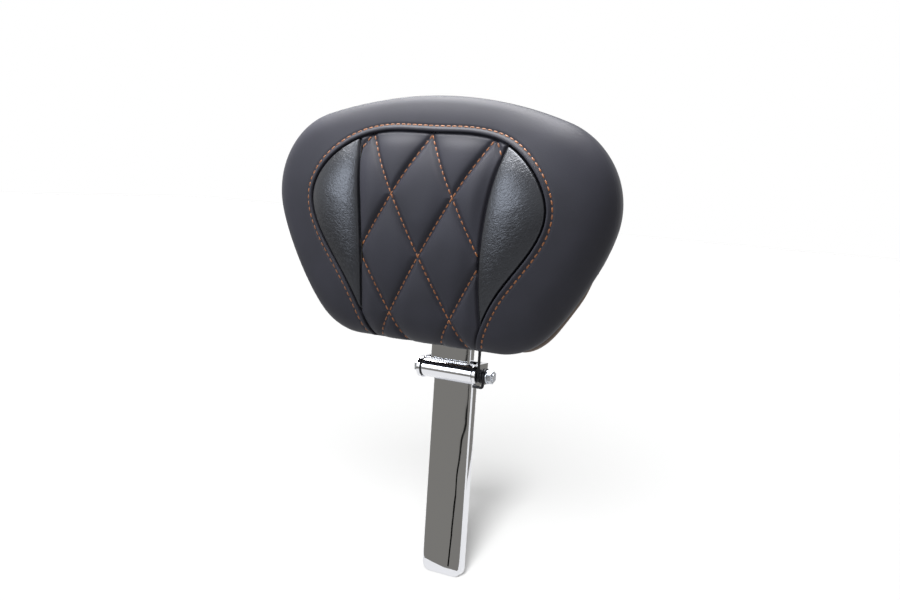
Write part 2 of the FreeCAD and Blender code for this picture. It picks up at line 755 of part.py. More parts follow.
def centre_prism():
    """The field of the quilted panel, between the two curved insert seams."""
    y = -size["rim_depth"]
    top = size["inset_top"] + FAR
    tail = size["pad_bottom"] - FAR

    def seam(side):
        heads = [Vector(side * size["insert_top_x"], y, size["inset_top"]),
                 Vector(side * size["insert_waist_x"], y, size["insert_waist_z"]),
                 Vector(side * size["insert_foot_x"], y, size["pad_bottom"])]
        above = Vector(heads[0].x, y, top)
        below = Vector(heads[2].x, y, tail)
        pieces = [Part.LineSegment(above, heads[0]), Part.Arc(*heads), Part.LineSegment(heads[2], below)]
        return [piece.toShape() for piece in pieces], above, below

    right, right_top, right_foot = seam(1)
    left, left_top, left_foot = seam(-1)
    head = Part.LineSegment(right_top, left_top).toShape()
    foot = Part.LineSegment(right_foot, left_foot).toShape()
    field = Part.Face(Part.Wire(Part.sortEdges(right + left + [head, foot])[0]))
    return field.extrude(Vector(0, -size["crown_depth"], 0))


def quilt_strips():
    """Upright strips along the lattice lines, as wide as a stitched groove."""
    across = size["diamond_half_width"]
    up = size["diamond_half_height"]
    length = 2 * size["pad_top"]
    slope = math.degrees(math.atan2(across, up))
    strips = []
    for side in (1, -1):
        for step in (-4, -2, 0, 2):
            strip = Part.makeBox(size["groove_width"], size["crown_depth"], length)
            front = -size["rim_depth"] - size["crown_depth"]
            strip.translate(Vector(-size["groove_width"] / 2, front, -length / 2))
            strip.rotate(Vector(), Y_AXIS, side * slope)
            strip.translate(Vector(side * step * across, 0, size["diamond_centre_z"]))
            strips.append(strip)
    return strips


def soft_piece(name, shape):
    if len(shape.Solids) != 1:
        raise ValueError(f"{name} is {len(shape.Solids)} solids")
    piece = doc.addObject("Part::Feature", name + "_shape")
    piece.Shape = shape.Solids[0]
    piece.Placement = Placement(Vector(0, -size["hinge_offset"], size["hinge_height"]), Rotation())
    return keep(piece, name)


def bolt_column(diameter, rear, front):
    """One cylinder on each bolt's axis, between two depths."""
    columns = []
    for i in range(int(size["bolt_count"])):
        foot = Vector(0, -rear, size["bolt_low"] + i * size["bolt_pitch"])
        columns.append(Part.makeCylinder(diameter / 2, front - rear, foot, -Y_AXIS))
    return columns


def make_pad():
    outer = pad_envelope(0.0)
    shell = outer.cut(pad_envelope(size["cover_thickness"]))
    inset = inset_prism()
    centre = centre_prism()
    seam_y = -size["back_depth"] - size["cover_thickness"]
    rear = Part.makeBox(2 * size["pad_half_width"], FAR, 2 * size["pad_top"])
    rear.translate(Vector(-size["pad_half_width"], seam_y, -size["pad_top"] / 2))
    front = shell.common(inset)
    soft_piece("border_cover", shell.cut([inset, rear]))
    inserts = sorted(front.cut(centre).Solids, key=lambda solid: solid.CenterOfMass.x)
    left, right = inserts
    soft_piece("left_insert", left)
    soft_piece("right_insert", right)
    lattice = outer.cut(pad_envelope(size["groove_depth"])).common(quilt_strips())
    soft_piece("diamond_panel", front.common(centre).cut(lattice))
    hole = size["bolt_diameter"] + 2 * size["hole_clearance"]
    soft_piece("back_panel", shell.common(rear).cut(bolt_column(hole, size["back_depth"] - 1, FAR)))
    board_rear = size["back_depth"] + size["cover_thickness"] + size["foam_clearance"]
    board_front = board_rear + size["board_thickness"]
    board_face = Part.Face(pad_outline(size["board_inset"], board_rear))
    board = board_face.extrude(Vector(0, -size["board_thickness"], 0))
    sleeve = size["tee_sleeve_diameter"] + 2 * size["press_clearance"]
    soft_piece("back_board", board.cut(bolt_column(sleeve, board_rear - 1, board_front + 1)))
    bed = Part.Face(pad_outline(size["board_inset"] - size["foam_clearance"], 0)).extrude(
        Vector(0, -board_front - size["foam_clearance"], 0))
    tip_depth = board_front + size["tee_flange_thickness"] + size["bolt_tip"]
    nut_room = bolt_column(size["tee_flange_diameter"] + 1, board_rear, tip_depth + 1)
    foam = pad_envelope(size["cover_thickness"] + size["foam_clearance"])
    soft_piece("foam_core", foam.cut([bed] + nut_room))
    make_back_welt(outer, -seam_y)


def make_back_welt(outer, seam_depth):
    """Half-round bead along the seam between the back panel and the border."""
    radius = size["welt_radius"]
    nearby = 0.5
    insets = []
    for depth in (seam_depth - nearby, seam_depth, seam_depth + nearby):
        seam = outer.slice(Y_AXIS, -depth)[0]
        widest = max(point.x for point in seam.discretize(Distance=nearby))
        insets.append(size["pad_half_width"] - widest)
    slope = Vector(insets[0] - insets[2], 2 * nearby, 0).normalize()
    outward = Vector(slope.y, slope.x, 0)
    # The section stands where the bottom edge's seam crosses the pad's middle: right in it is along the seam
    foot = Vector(0, -seam_depth, size["pad_bottom"] + insets[1])
    up = Vector(0, outward.y, -outward.x)
    along = Vector(0, -slope.y, -slope.x)
    seat = foot + up * size["welt_seat"]
    crest = Part.Arc(seat + along * radius, seat + up * radius, seat - along * radius)
    base = Part.LineSegment(seat - along * radius, seat + along * radius)
    section = Part.Wire([crest.toShape(), base.toShape()])
    path = pad_outline(insets[1], seam_depth)
    soft_piece("back_welt", path.makePipeShell([section], True, False))


make_post()
make_hinge_yoke()
make_hinge_barrel()
make_barrel_bushings()
make_tongue()
make_pivot_bolt()
make_pivot_washers()
make_pivot_nut()
make_stop_screw()
make_stop_jam_nut()
make_tongue_bolts()
make_tongue_washers()
make_tee_nuts()
make_torsion_spring()
make_pad()
doc.recompute()

# Every object must be sound before anything is written
for thing in doc.Objects:
    if "Invalid" in thing.State or "Error" in thing.State:
        raise ValueError(f"{thing.Label} did not build: {thing.State}")
for label, thing in subparts.items():
    if thing.Shape.isNull() or not thing.Shape.isValid():
        raise ValueError(f"{label} has no sound shape")

os.makedirs("parts", exist_ok=True)
for label, thing in subparts.items():
    thing.Shape.exportStep(f"parts/{label}.step")
    box = thing.Shape.BoundBox
    print(f"{label}: {len(thing.Shape.Solids)} solids, {thing.Shape.Volume / 1000:.2f} cm3,",
          f"{box.XLength:.1f} x {box.YLength:.1f} x {box.ZLength:.1f} mm")
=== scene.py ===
import json
import math

import bmesh
import bpy
import numpy as np
from mathutils import Matrix, Vector, kdtree


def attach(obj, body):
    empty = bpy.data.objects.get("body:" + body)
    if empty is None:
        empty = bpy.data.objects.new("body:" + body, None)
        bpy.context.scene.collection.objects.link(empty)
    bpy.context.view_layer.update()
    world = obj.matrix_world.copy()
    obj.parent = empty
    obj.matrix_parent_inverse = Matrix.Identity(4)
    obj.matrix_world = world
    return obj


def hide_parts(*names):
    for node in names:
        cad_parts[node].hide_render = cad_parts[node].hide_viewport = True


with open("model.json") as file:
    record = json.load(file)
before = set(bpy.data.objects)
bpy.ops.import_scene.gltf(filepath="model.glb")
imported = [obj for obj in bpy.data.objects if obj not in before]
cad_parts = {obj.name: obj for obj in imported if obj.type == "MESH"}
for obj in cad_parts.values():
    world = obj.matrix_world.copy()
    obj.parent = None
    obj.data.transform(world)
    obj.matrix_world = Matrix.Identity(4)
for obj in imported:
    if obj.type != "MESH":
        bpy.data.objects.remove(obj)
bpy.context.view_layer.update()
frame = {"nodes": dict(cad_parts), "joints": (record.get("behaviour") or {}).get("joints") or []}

# Post
# A flat mild steel bar that slides into a receiver under the seat. Its long edges are rounded on a
# linisher, and it is polished and chrome plated. The hinge yoke is welded to its top end.


def colour(code):
    """Linear RGBA of an sRGB hex value."""
    channels = [int(code[i:i + 2], 16) / 255 for i in (1, 3, 5)]
    linear = [c / 12.92 if c <= 0.04045 else ((c + 0.055) / 1.055) ** 2.4 for c in channels]
    return (*linear, 1.0)


def add_node(tree, kind, inputs=None, **settings):
    """Add a node with its settings, and give each of its inputs a value or a link."""
    new = tree.nodes.new(kind)
    for name, value in settings.items():
        setattr(new, name, value)
    for socket, value in (inputs or {}).items():
        if isinstance(value, bpy.types.NodeSocket):
            tree.links.new(value, new.inputs[socket])
        else:
            new.inputs[socket].default_value = value
    return new


def new_material(name):
    """An empty node material: its tree and its surface shader."""
    material = bpy.data.materials.new(name)
    material.use_nodes = True
    return material, material.node_tree, material.node_tree.nodes["Principled BSDF"]


MM = 0.001


def per_metre(size_mm):
    """Pattern scale, in repeats a metre, of a feature of that size."""
    return 1000 / size_mm


def paint(material, *names):
    """Give CAD nodes one material."""
    for name in names:
        mesh = frame["nodes"][name].data
        mesh.materials.clear()
        mesh.materials.append(material)


# Bright chrome plate over polished steel: a clear mirror with the faint waviness that hand polishing leaves
CHROME_TINT = "#e3e4e8"
POLISH_WAVE_MM = 26
HAZE_MM = 9
chrome, tree, shader = new_material("chrome_plate")
place = add_node(tree, "ShaderNodeTexCoord").outputs["Object"]
wave = add_node(tree, "ShaderNodeTexNoise",
                {"Vector": place, "Scale": per_metre(POLISH_WAVE_MM), "Detail": 1.0})
haze = add_node(tree, "ShaderNodeTexNoise", {"Vector": place, "Scale": per_metre(HAZE_MM), "Detail": 3.0})
gloss = add_node(tree, "ShaderNodeMapRange", {"Value": haze.outputs["Fac"], "To Min": 0.008, "To Max": 0.03})
ripple = add_node(tree, "ShaderNodeBump",
                  {"Height": wave.outputs["Fac"], "Strength": 0.06, "Distance": 0.001})
shader.inputs["Base Color"].default_value = colour(CHROME_TINT)
shader.inputs["Metallic"].default_value = 1.0
tree.links.new(gloss.outputs["Result"], shader.inputs["Roughness"])
tree.links.new(ripple.outputs["Normal"], shader.inputs["Normal"])
paint(chrome, "post")

# Hinge yoke and its hardware
# A fork folded from 3 and 4 mm steel plate, welded to the post's top end and chromed with it. The pivot
# bolt, washers, lock nut, stop screw and jam nut are bright zinc plated steel from stock.

paint(chrome, "hinge_yoke")

# Bright zinc: a softer, slightly bluer shine than chrome, with fine turning marks
ZINC_TINT = "#c9ccd2"
TURNING_MM = 0.6
BLOTCH_MM = 5
zinc, tree, shader = new_material("bright_zinc")
place = add_node(tree, "ShaderNodeTexCoord").outputs["Object"]
marks = add_node(tree, "ShaderNodeTexNoise", {"Vector": place, "Scale": per_metre(TURNING_MM), "Detail": 2.0})
blotch = add_node(tree, "ShaderNodeTexNoise",
                  {"Vector": place, "Scale": per_metre(BLOTCH_MM), "Detail": 3.0})
gloss = add_node(tree, "ShaderNodeMapRange", {"Value": blotch.outputs["Fac"], "To Min": 0.12, "To Max": 0.3})
grain = add_node(tree, "ShaderNodeBump",
                 {"Height": marks.outputs["Fac"], "Strength": 0.15, "Distance": 0.0002})
shader.inputs["Base Color"].default_value = colour(ZINC_TINT)
shader.inputs["Metallic"].default_value = 1.0
tree.links.new(gloss.outputs["Result"], shader.inputs["Roughness"])
tree.links.new(grain.outputs["Normal"], shader.inputs["Normal"])
paint(zinc, "pivot_bolt", "pivot_washers", "pivot_nut", "stop_screw", "stop_jam_nut")


def ease_edges(name, width):
    """Break a CAD node's sharp edges, as a forged or turned piece has them."""
    piece = frame["nodes"][name]
    weld = piece.modifiers.new("weld", "WELD")
    weld.merge_threshold = 0.02 * MM
    bevel = piece.modifiers.new("eased", "BEVEL")
    bevel.width = width * MM
    bevel.segments = 2
    bevel.limit_method = "ANGLE"
    bevel.angle_limit = math.radians(35)


EASED = 0.35
for name in ("pivot_bolt", "pivot_nut", "stop_jam_nut", "pivot_washers", "stop_screw", "hinge_yoke"):
    ease_edges(name, EASED)

# Barrel, bushings and tongue
# The tongue is flat steel bar, coped to the barrel tube and joined to it by a small weld along its front,
# then chromed as one piece. Nylon bushings are pressed into the barrel's ends.

paint(chrome, "hinge_barrel", "tongue")

# Turned nylon: dark, waxy and nearly smooth
LATHE_MM = 0.8
nylon, tree, shader = new_material("turned_nylon")
place = add_node(tree, "ShaderNodeTexCoord").outputs["Object"]
turned = add_node(tree, "ShaderNodeTexNoise", {"Vector": place, "Scale": per_metre(LATHE_MM), "Detail": 2.0})
fine = add_node(tree, "ShaderNodeBump",
                {"Height": turned.outputs["Fac"], "Strength": 0.1, "Distance": 0.0002})
shader.inputs["Base Color"].default_value = colour("#1d1d1f")
shader.inputs["Roughness"].default_value = 0.42
tree.links.new(fine.outputs["Normal"], shader.inputs["Normal"])
paint(nylon, "barrel_bushings")


def add_piece(name, body, points, faces, material):
    """A mesh piece from points in millimetres in the row frame, riding on a CAD body."""
    mesh = bpy.data.meshes.new(name)
    mesh.from_pydata((np.asarray(points, float) * MM).tolist(), [], faces)
    mesh.materials.append(material)
    mesh.update()
    mesh.shade_smooth()
    piece = bpy.data.objects.new(name, mesh)
    bpy.context.scene.collection.objects.link(piece)
    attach(piece, body)
    return piece


def grid_faces(rows, columns, closed=False, start=0):
    """Quads between neighbouring points of a grid that is stored row by row."""
    faces = []
    span = columns if closed else columns - 1
    for i in range(rows - 1):
        for j in range(span):
            k = (j + 1) % columns
            faces.append((start + i * columns + j, start + i * columns + k,
                          start + (i + 1) * columns + k, start + (i + 1) * columns + j))
    return faces


# The hinge axis, in millimetres; the pad's sizes are measured up and forward from it
hinge = np.array(frame["joints"][0]["pos_m"]) / MM


def from_hinge(points):
    """Points in the row frame, from points measured from the hinge axis."""
    return np.asarray(points, float) + hinge


# Weld bead along the front of the joint: a row of overlapping puddles that runs out thin at both ends
WELD_LENGTH = 36
WELD_STEP = 1.8
WELD_RADIUS = 1.5
WELD_WAIST = 0.78
WELD_RUNOUT = 2
WELD_TIP = 0.05
WELD_LIFT = 0.3
BARREL_RADIUS = 8
TONGUE_FRONT = 2
weld_rows = 160
weld_sides = 10
along = np.linspace(-WELD_LENGTH / 2, WELD_LENGTH / 2, weld_rows)
phase = (along % WELD_STEP) / WELD_STEP
swell = WELD_RADIUS * (WELD_WAIST + (1 - WELD_WAIST) * np.sqrt(1 - (2 * phase - 1) ** 2))
taper = np.sqrt(np.clip((WELD_LENGTH / 2 - np.abs(along)) / WELD_RUNOUT, WELD_TIP, 1))
weld_z = math.sqrt(BARREL_RADIUS ** 2 - TONGUE_FRONT ** 2) + WELD_LIFT
weld_points = []
for x, radius in zip(along, swell * taper):
    for j in range(weld_sides):
        turn = 2 * math.pi * j / weld_sides
        weld_points.append((x, radius * math.cos(turn) - TONGUE_FRONT, weld_z + radius * math.sin(turn)))
weld_faces = grid_faces(weld_rows, weld_sides, closed=True)
add_piece("tongue_weld", "pad_side", from_hinge(weld_points), weld_faces, chrome)

# Torsion spring
# Black oxide spring wire wound round the pivot bolt outside the right ear. Its arm lies on the tongue's
# front and its tail bears under the ear, so it pushes the pad back up against the stop screw.

# Black oxide on drawn wire: near black, with a dull oily sheen
DRAWN_MM = 1.2
oxide, tree, shader = new_material("black_oxide")
place = add_node(tree, "ShaderNodeTexCoord").outputs["Object"]
drawn = add_node(tree, "ShaderNodeTexNoise", {"Vector": place, "Scale": per_metre(DRAWN_MM), "Detail": 3.0})
gloss = add_node(tree, "ShaderNodeMapRange", {"Value": drawn.outputs["Fac"], "To Min": 0.28, "To Max": 0.5})
shader.inputs["Base Color"].default_value = colour("#17171a")
shader.inputs["Metallic"].default_value = 0.6
tree.links.new(gloss.outputs["Result"], shader.inputs["Roughness"])


def add_wire(name, body, points, radius, material, closed=False):
    """Round wire or cord along a smooth line through points in millimetres in the row frame."""
    line = bpy.data.curves.new(name, "CURVE")
    line.dimensions = "3D"
    line.bevel_depth = radius * MM
    line.bevel_resolution = 6
    line.use_fill_caps = True
    run = line.splines.new("NURBS")
    run.points.add(len(points) - 1)
    for point, place_mm in zip(run.points, points):
        point.co = (*(Vector(place_mm) * MM), 1)
    run.use_cyclic_u = closed
    run.order_u = 3
    run.use_endpoint_u = not closed
    run.resolution_u = 4
    shape = bpy.data.objects.new(name + "_line", line)
    bpy.context.scene.collection.objects.link(shape)
    bpy.context.view_layer.update()
    mesh = bpy.data.meshes.new_from_object(shape.evaluated_get(bpy.context.evaluated_depsgraph_get()))
    bpy.data.objects.remove(shape)
    mesh.materials.clear()
    mesh.materials.append(material)
    mesh.shade_smooth()
    piece = bpy.data.objects.new(name, mesh)
    bpy.context.scene.collection.objects.link(piece)
    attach(piece, body)
    return piece


WIRE_RADIUS = 1.2
COIL_RADIUS = 5.4
COIL_START = 29.7
COIL_PITCH = 2.4
COIL_TURNS = 2
ARM_ROOT = 3
ARM_HEIGHT = 28
ARM_BEND = 4
ARM_LEAN = 0.5
ARM_SEAT = 3.4
ARM_END = 8
TAIL_ROOT = 2
TAIL_DROP = 8.89
TAIL_BEND = 3
TAIL_END = 25.4
coil_steps = 20
coil_line = []
for i in range(COIL_TURNS * coil_steps + 1):
    turn = 2 * math.pi * i / coil_steps
    x = COIL_START + COIL_PITCH * i / coil_steps
    coil_line.append((x, -COIL_RADIUS * math.cos(turn), -COIL_RADIUS * math.sin(turn)))
coil_end = COIL_START + COIL_PITCH * COIL_TURNS
tail_line = [(coil_end, -COIL_RADIUS, -TAIL_ROOT), (coil_end, -COIL_RADIUS, -TAIL_DROP),
             (coil_end - TAIL_BEND, -COIL_RADIUS, -TAIL_DROP), (TAIL_END, -COIL_RADIUS, -TAIL_DROP)]
coil = add_wire("spring_coil", "post_side", from_hinge(coil_line + tail_line), WIRE_RADIUS, oxide)
arm_line = [(COIL_START, -COIL_RADIUS, 0), (COIL_START, -COIL_RADIUS, ARM_ROOT),
            (COIL_START, -COIL_RADIUS, ARM_HEIGHT - ARM_BEND), (COIL_START, -COIL_RADIUS, ARM_HEIGHT),
            (COIL_START - ARM_BEND, ARM_LEAN - COIL_RADIUS, ARM_HEIGHT), (ARM_END, -ARM_SEAT, ARM_HEIGHT)]
add_wire("spring_arm", "pad_side", from_hinge(arm_line), WIRE_RADIUS, oxide)
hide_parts("torsion_spring")

# Board, tee nuts and tongue bolts
# A plywood board inside the pad's back carries it. Tee nuts are pressed into the board from the front, and
# three button-head bolts with washers draw the tongue up to it through the back panel.

paint(zinc, "tee_nuts", "tongue_washers", "tongue_bolts")
for name in ("tongue_bolts", "tongue_washers"):
    ease_edges(name, EASED)

# Birch plywood: pale, with long soft grain along the board
PLY_GRAIN_MM = 3
PLY_STRETCH = 0.08
birch, tree, shader = new_material("birch_plywood")
place = add_node(tree, "ShaderNodeTexCoord").outputs["Object"]
stretch = add_node(tree, "ShaderNodeMapping", {"Vector": place, "Scale": (PLY_STRETCH, 1.0, 1.0)})
figure = add_node(tree, "ShaderNodeTexNoise",
                  {"Vector": stretch.outputs["Vector"], "Scale": per_metre(PLY_GRAIN_MM), "Detail": 4.0})
tone = add_node(tree, "ShaderNodeValToRGB", {"Fac": figure.outputs["Fac"]})
tone.color_ramp.elements[0].color = colour("#b58d5c")
tone.color_ramp.elements[1].color = colour("#d8b886")
tree.links.new(tone.outputs["Color"], shader.inputs["Base Color"])
shader.inputs["Roughness"].default_value = 0.7
paint(birch, "back_board")

# Foam core
# A moulded polyurethane cushion, glued to the board's front, that gives the pad its crowned form. It is
# wholly inside the covers and stands a few millimetres under them, where the seams draw them down.

# Pad outline at its widest: flat bottom, two corner arcs a side, shallow top arc, as the CAD solids have it
PAD_HALF_WIDTH = 154
PAD_TOP = 222
PAD_BOTTOM = 27
TOP_RADIUS = 350
UPPER_RADIUS = 65
LOWER_RADIUS = 55
LOWER_X = 64
FLANK_EASE = math.radians(20)
FLANK_FULL = 0.74


def evenly(points, count):
    """The same line, with that many points at even steps along it."""
    points = np.asarray(points, float)
    steps = np.linalg.norm(np.diff(points, axis=0), axis=1)
    run = np.concatenate([[0], np.cumsum(steps)])
    at = np.linspace(0, run[-1], count)
    return np.stack([np.interp(at, run, points[:, k]) for k in range(points.shape[1])], axis=1)


def ease(share):
    """A share from 0 to 1 that starts and ends gently."""
    share = np.clip(share, 0, 1)
    return share * share * (3 - 2 * share)


def half_outline(inset):
    """Right half of the pad's outline, drawn in by inset, from the bottom's middle up to the top's middle."""
    top_r = TOP_RADIUS - inset
    upper_r = UPPER_RADIUS - inset
    lower_r = LOWER_RADIUS - inset
    top_centre = PAD_TOP - TOP_RADIUS
    upper_x = PAD_HALF_WIDTH - UPPER_RADIUS
    upper_z = top_centre + math.sqrt((TOP_RADIUS - UPPER_RADIUS) ** 2 - upper_x ** 2)
    lower_z = PAD_BOTTOM + LOWER_RADIUS
    rise = upper_z - lower_z
    reach = upper_x - LOWER_X
    flank = math.atan2(rise, reach) - math.acos((LOWER_RADIUS - UPPER_RADIUS) / math.hypot(rise, reach))
    shoulder = math.atan2(upper_z - top_centre, upper_x)
    steps = 120

    def arc(x, z, radius, start, end):
        turn = np.linspace(start, end, steps)
        return np.stack([x + radius * np.cos(turn), z + radius * np.sin(turn)], axis=1)

    def way(turn):
        return np.array([-math.sin(turn), math.cos(turn)])

    lower = arc(LOWER_X, lower_z, lower_r, -math.pi / 2, flank - FLANK_EASE)
    upper = arc(upper_x, upper_z, upper_r, flank + FLANK_EASE, shoulder)
    share = np.linspace(0, 1, steps)[1:-1, None]
    pull = FLANK_FULL * np.linalg.norm(upper[0] - lower[-1])
    leave = pull * way(flank - FLANK_EASE) * share * (1 - share) ** 2
    arrive = pull * way(flank + FLANK_EASE) * share ** 2 * (1 - share)
    flank_line = lower[-1] + ease(share) * (upper[0] - lower[-1]) + leave - arrive
    foot = np.array([[0, PAD_BOTTOM + inset]])
    return np.concatenate([foot, lower, flank_line, upper, arc(0, top_centre, top_r, shoulder, math.pi / 2)])


def both_halves(half):
    """A line from the right foot over the top to the left foot, from its right half."""
    mirrored = half[::-1] * np.array([-1, 1])
    return np.concatenate([half, mirrored[1:]])


def closed_outline(inset, count):
    """That many points round the whole outline, drawn in by inset."""
    return evenly(both_halves(half_outline(inset)), count + 1)[:-1]


def spline(points, count):
    """A smooth line through the points: a natural cubic spline over their chord lengths."""
    points = np.asarray(points, float)
    run = np.concatenate([[0], np.cumsum(np.linalg.norm(np.diff(points, axis=0), axis=1))])
    gap = np.diff(run)
    n = len(points)
    system = np.eye(n)
    target = np.zeros_like(points)
    for i in range(1, n - 1):
        system[i, i - 1:i + 2] = gap[i - 1], 2 * (gap[i - 1] + gap[i]), gap[i]
        target[i] = 6 * ((points[i + 1] - points[i]) / gap[i] - (points[i] - points[i - 1]) / gap[i - 1])
    bend = np.linalg.solve(system, target)
    at = np.linspace(0, run[-1], count)
    k = np.clip(np.searchsorted(run, at, side="right") - 1, 0, n - 2)
    left = (run[k + 1] - at)[:, None]
    right = (at - run[k])[:, None]
    h = gap[k][:, None]
    ends = (points[k] / h - bend[k] * h / 6) * left + (points[k + 1] / h - bend[k + 1] * h / 6) * right
    return ends + (bend[k] * left ** 3 + bend[k + 1] * right ** 3) / (6 * h)


# Section from the back seam round the rim to the crown: inset from the outline, depth from the hinge
SEAM_INSET = 14.5
SEAM_DEPTH = 4.5
RIM_DEPTH = 40
section = spline([(20, 2), (7.5, 13), (1.6, 26), (0, RIM_DEPTH), (8.5, 50.5), (28, 57), (46, 60), (72, 63),
                  (98, 64)], 1200)
rim = int(np.argmin(np.abs(section[:, 1] - RIM_DEPTH)))
front_section = section[rim:]
side_section = section[:rim + 1][::-1]
side_section = side_section[side_section[:, 1] >= SEAM_DEPTH]

# Highest part of the dome, and how fast it falls away across and up the pad
CROWN_DEPTH = 64.5
CROWN_Z = 125
CROWN_FALL_X = 3.0e-4
CROWN_FALL_Z = 1.2e-3
CROWN_BLEND = 1.5


class Line:
    """A dense line in the pad's face, with quick distances to it."""

    def __init__(self, points):
        self.points = evenly(points, 3000)
        self.tree = kdtree.KDTree(len(self.points))
        for i, (x, z) in enumerate(self.points):
            self.tree.insert((x, z, 0), i)
        self.tree.balance()

    def distance(self, x, z):
        """Distances of points from the line, in the shape that they come in."""
        shape = np.shape(x)
        flat = [self.tree.find((a, b, 0))[2] for a, b in zip(np.ravel(x), np.ravel(z))]
        return np.array(flat).reshape(shape)


outline = Line(both_halves(half_outline(0)))

# Across the top, the face rolls back sooner than at the sides
ROLL_FROM = 140
ROLL_FULL = 195
TOP_RIM = 35
TOP_HALF = 50
TOP_END = 125
top_section = spline([(0, TOP_RIM), (3, 39.2), (8, 42.8), (15, 46.2), (31, 51), (50, 56), (75, 61), (98, 64)],
                     200)


def top_share(x, z):
    """How much of the top's roll a point has: all at the top's middle, none at the sides and below."""
    up = ease((np.asarray(z) - ROLL_FROM) / (ROLL_FULL - ROLL_FROM))
    return up * (1 - ease((np.abs(x) - TOP_HALF) / (TOP_END - TOP_HALF)))


def rim_depth(x, z):
    """Depth of the rim, where the pad is widest."""
    return RIM_DEPTH + top_share(x, z) * (TOP_RIM - RIM_DEPTH)


def face_depth(x, z):
    """Depth of the pad's plain crowned face, before seams and quilting."""
    inset = outline.distance(x, z)
    side_round = np.interp(inset, front_section[:, 0], front_section[:, 1])
    top_round = np.interp(inset, top_section[:, 0], top_section[:, 1])
    rounded = side_round + top_share(x, z) * (top_round - side_round)
    dome = CROWN_DEPTH - CROWN_FALL_X * np.square(x) - CROWN_FALL_Z * np.square(np.asarray(z) - CROWN_Z)
    return -CROWN_BLEND * np.logaddexp(-rounded / CROWN_BLEND, -dome / CROWN_BLEND)


# Moulded polyurethane foam: cream, with a fine open skin
PORE_MM = 1.5
foam, tree, shader = new_material("polyurethane_foam")
place = add_node(tree, "ShaderNodeTexCoord").outputs["Object"]
pores = add_node(tree, "ShaderNodeTexVoronoi", {"Vector": place, "Scale": per_metre(PORE_MM)})
skin = add_node(tree, "ShaderNodeBump",
                {"Height": pores.outputs["Distance"], "Strength": 0.4, "Distance": 0.0004})
shader.inputs["Base Color"].default_value = colour("#e2d7b4")
shader.inputs["Roughness"].default_value = 0.95
tree.links.new(skin.outputs["Normal"], shader.inputs["Normal"])

# Rings of the cushion: its back and side, by inset and depth, and then its face, closing in on the middle
FOAM_INSET = 9
foam_section = [(23, 12), (11, 20), (FOAM_INSET, RIM_DEPTH)]
face_shares = (0.96, 0.85, 0.7, 0.5, 0.3, 0.1)
foam_columns = 120
foam_points = []
for inset, depth in foam_section:
    foam_points += [(x, -depth, z) for x, z in closed_outline(inset, foam_columns)]
middle = np.array([0, 0.5 * (PAD_TOP + PAD_BOTTOM)])
for share in face_shares:
    ring = middle + share * (closed_outline(FOAM_INSET, foam_columns) - middle)
    depth = face_depth(ring[:, 0], ring[:, 1]) - FOAM_INSET
    foam_points += [(x, -d, z) for (x, z), d in zip(ring, depth)]
foam_rows = len(foam_points) // foam_columns
foam_faces = grid_faces(foam_rows, foam_columns, closed=True)
foam_faces.append(tuple(range(foam_columns - 1, -1, -1)))
foam_faces.append(tuple(range((foam_rows - 1) * foam_columns, foam_rows * foam_columns)))
core = add_piece("foam_cushion", "pad_side", from_hinge(foam_points), foam_faces, foam)
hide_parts("foam_core")

# Border cover
# Matte vinyl on a thin sewn foam backing. It frames the face, wraps the sides to the back seam, and its
# inner edge is folded under and topstitched, so that it stands as a soft lip above the inset panels.

# Matte upholstery vinyl: charcoal, a soft wide sheen and a fine embossed pebble
PEBBLE_MM = 0.9
CLOUD_MM = 45
vinyl, tree, shader = new_material("matte_vinyl")
place = add_node(tree, "ShaderNodeTexCoord").outputs["Object"]
pebble = add_node(tree, "ShaderNodeTexVoronoi",
                  {"Vector": place, "Scale": per_metre(PEBBLE_MM)}, feature="SMOOTH_F1")
cloud = add_node(tree, "ShaderNodeTexNoise", {"Vector": place, "Scale": per_metre(CLOUD_MM), "Detail": 2.0})
tone = add_node(tree, "ShaderNodeValToRGB", {"Fac": cloud.outputs["Fac"]})
tone.color_ramp.elements[0].position = 0.35
tone.color_ramp.elements[0].color = colour("#26262c")
tone.color_ramp.elements[1].position = 0.65
tone.color_ramp.elements[1].color = colour("#2a2a31")
gloss = add_node(tree, "ShaderNodeMapRange", {"Value": cloud.outputs["Fac"], "To Min": 0.50, "To Max": 0.58})
emboss = add_node(tree, "ShaderNodeBump",
                  {"Height": pebble.outputs["Distance"], "Strength": 0.10, "Distance": 0.0003})
tree.links.new(tone.outputs["Color"], shader.inputs["Base Color"])
tree.links.new(gloss.outputs["Result"], shader.inputs["Roughness"])
tree.links.new(emboss.outputs["Normal"], shader.inputs["Normal"])
shader.inputs["Specular IOR Level"].default_value = 0.15

# Inset seam, from the right foot over the top to the left foot
FOOT_X = 47
INSET_TOP = 193
seam_half = [(FOOT_X, PAD_BOTTOM), (70, 73), (106.5, 141), (74, 183)]
seam_points = seam_half + [(0, INSET_TOP)] + [(-x, z) for x, z in seam_half[::-1]]
inset_seam = Line(spline(seam_points, 900))

# Folded lip at the seam, and the shallow line that its topstitching draws in
LIP_HEIGHT = 1.3
LIP_AT = 2.2
LIP_WIDTH = 2.2
TUCK_DEPTH = 3.0
TUCK_WIDTH = 0.5
TOPSTITCH_AT = 4.9
STITCH_DIP = 0.8
STITCH_DIP_WIDTH = 1.1


def ridge(gap, width):
    """A soft ridge: 1 where the gap is nothing, and gone about two widths away."""
    return np.exp(-np.square(gap / width))


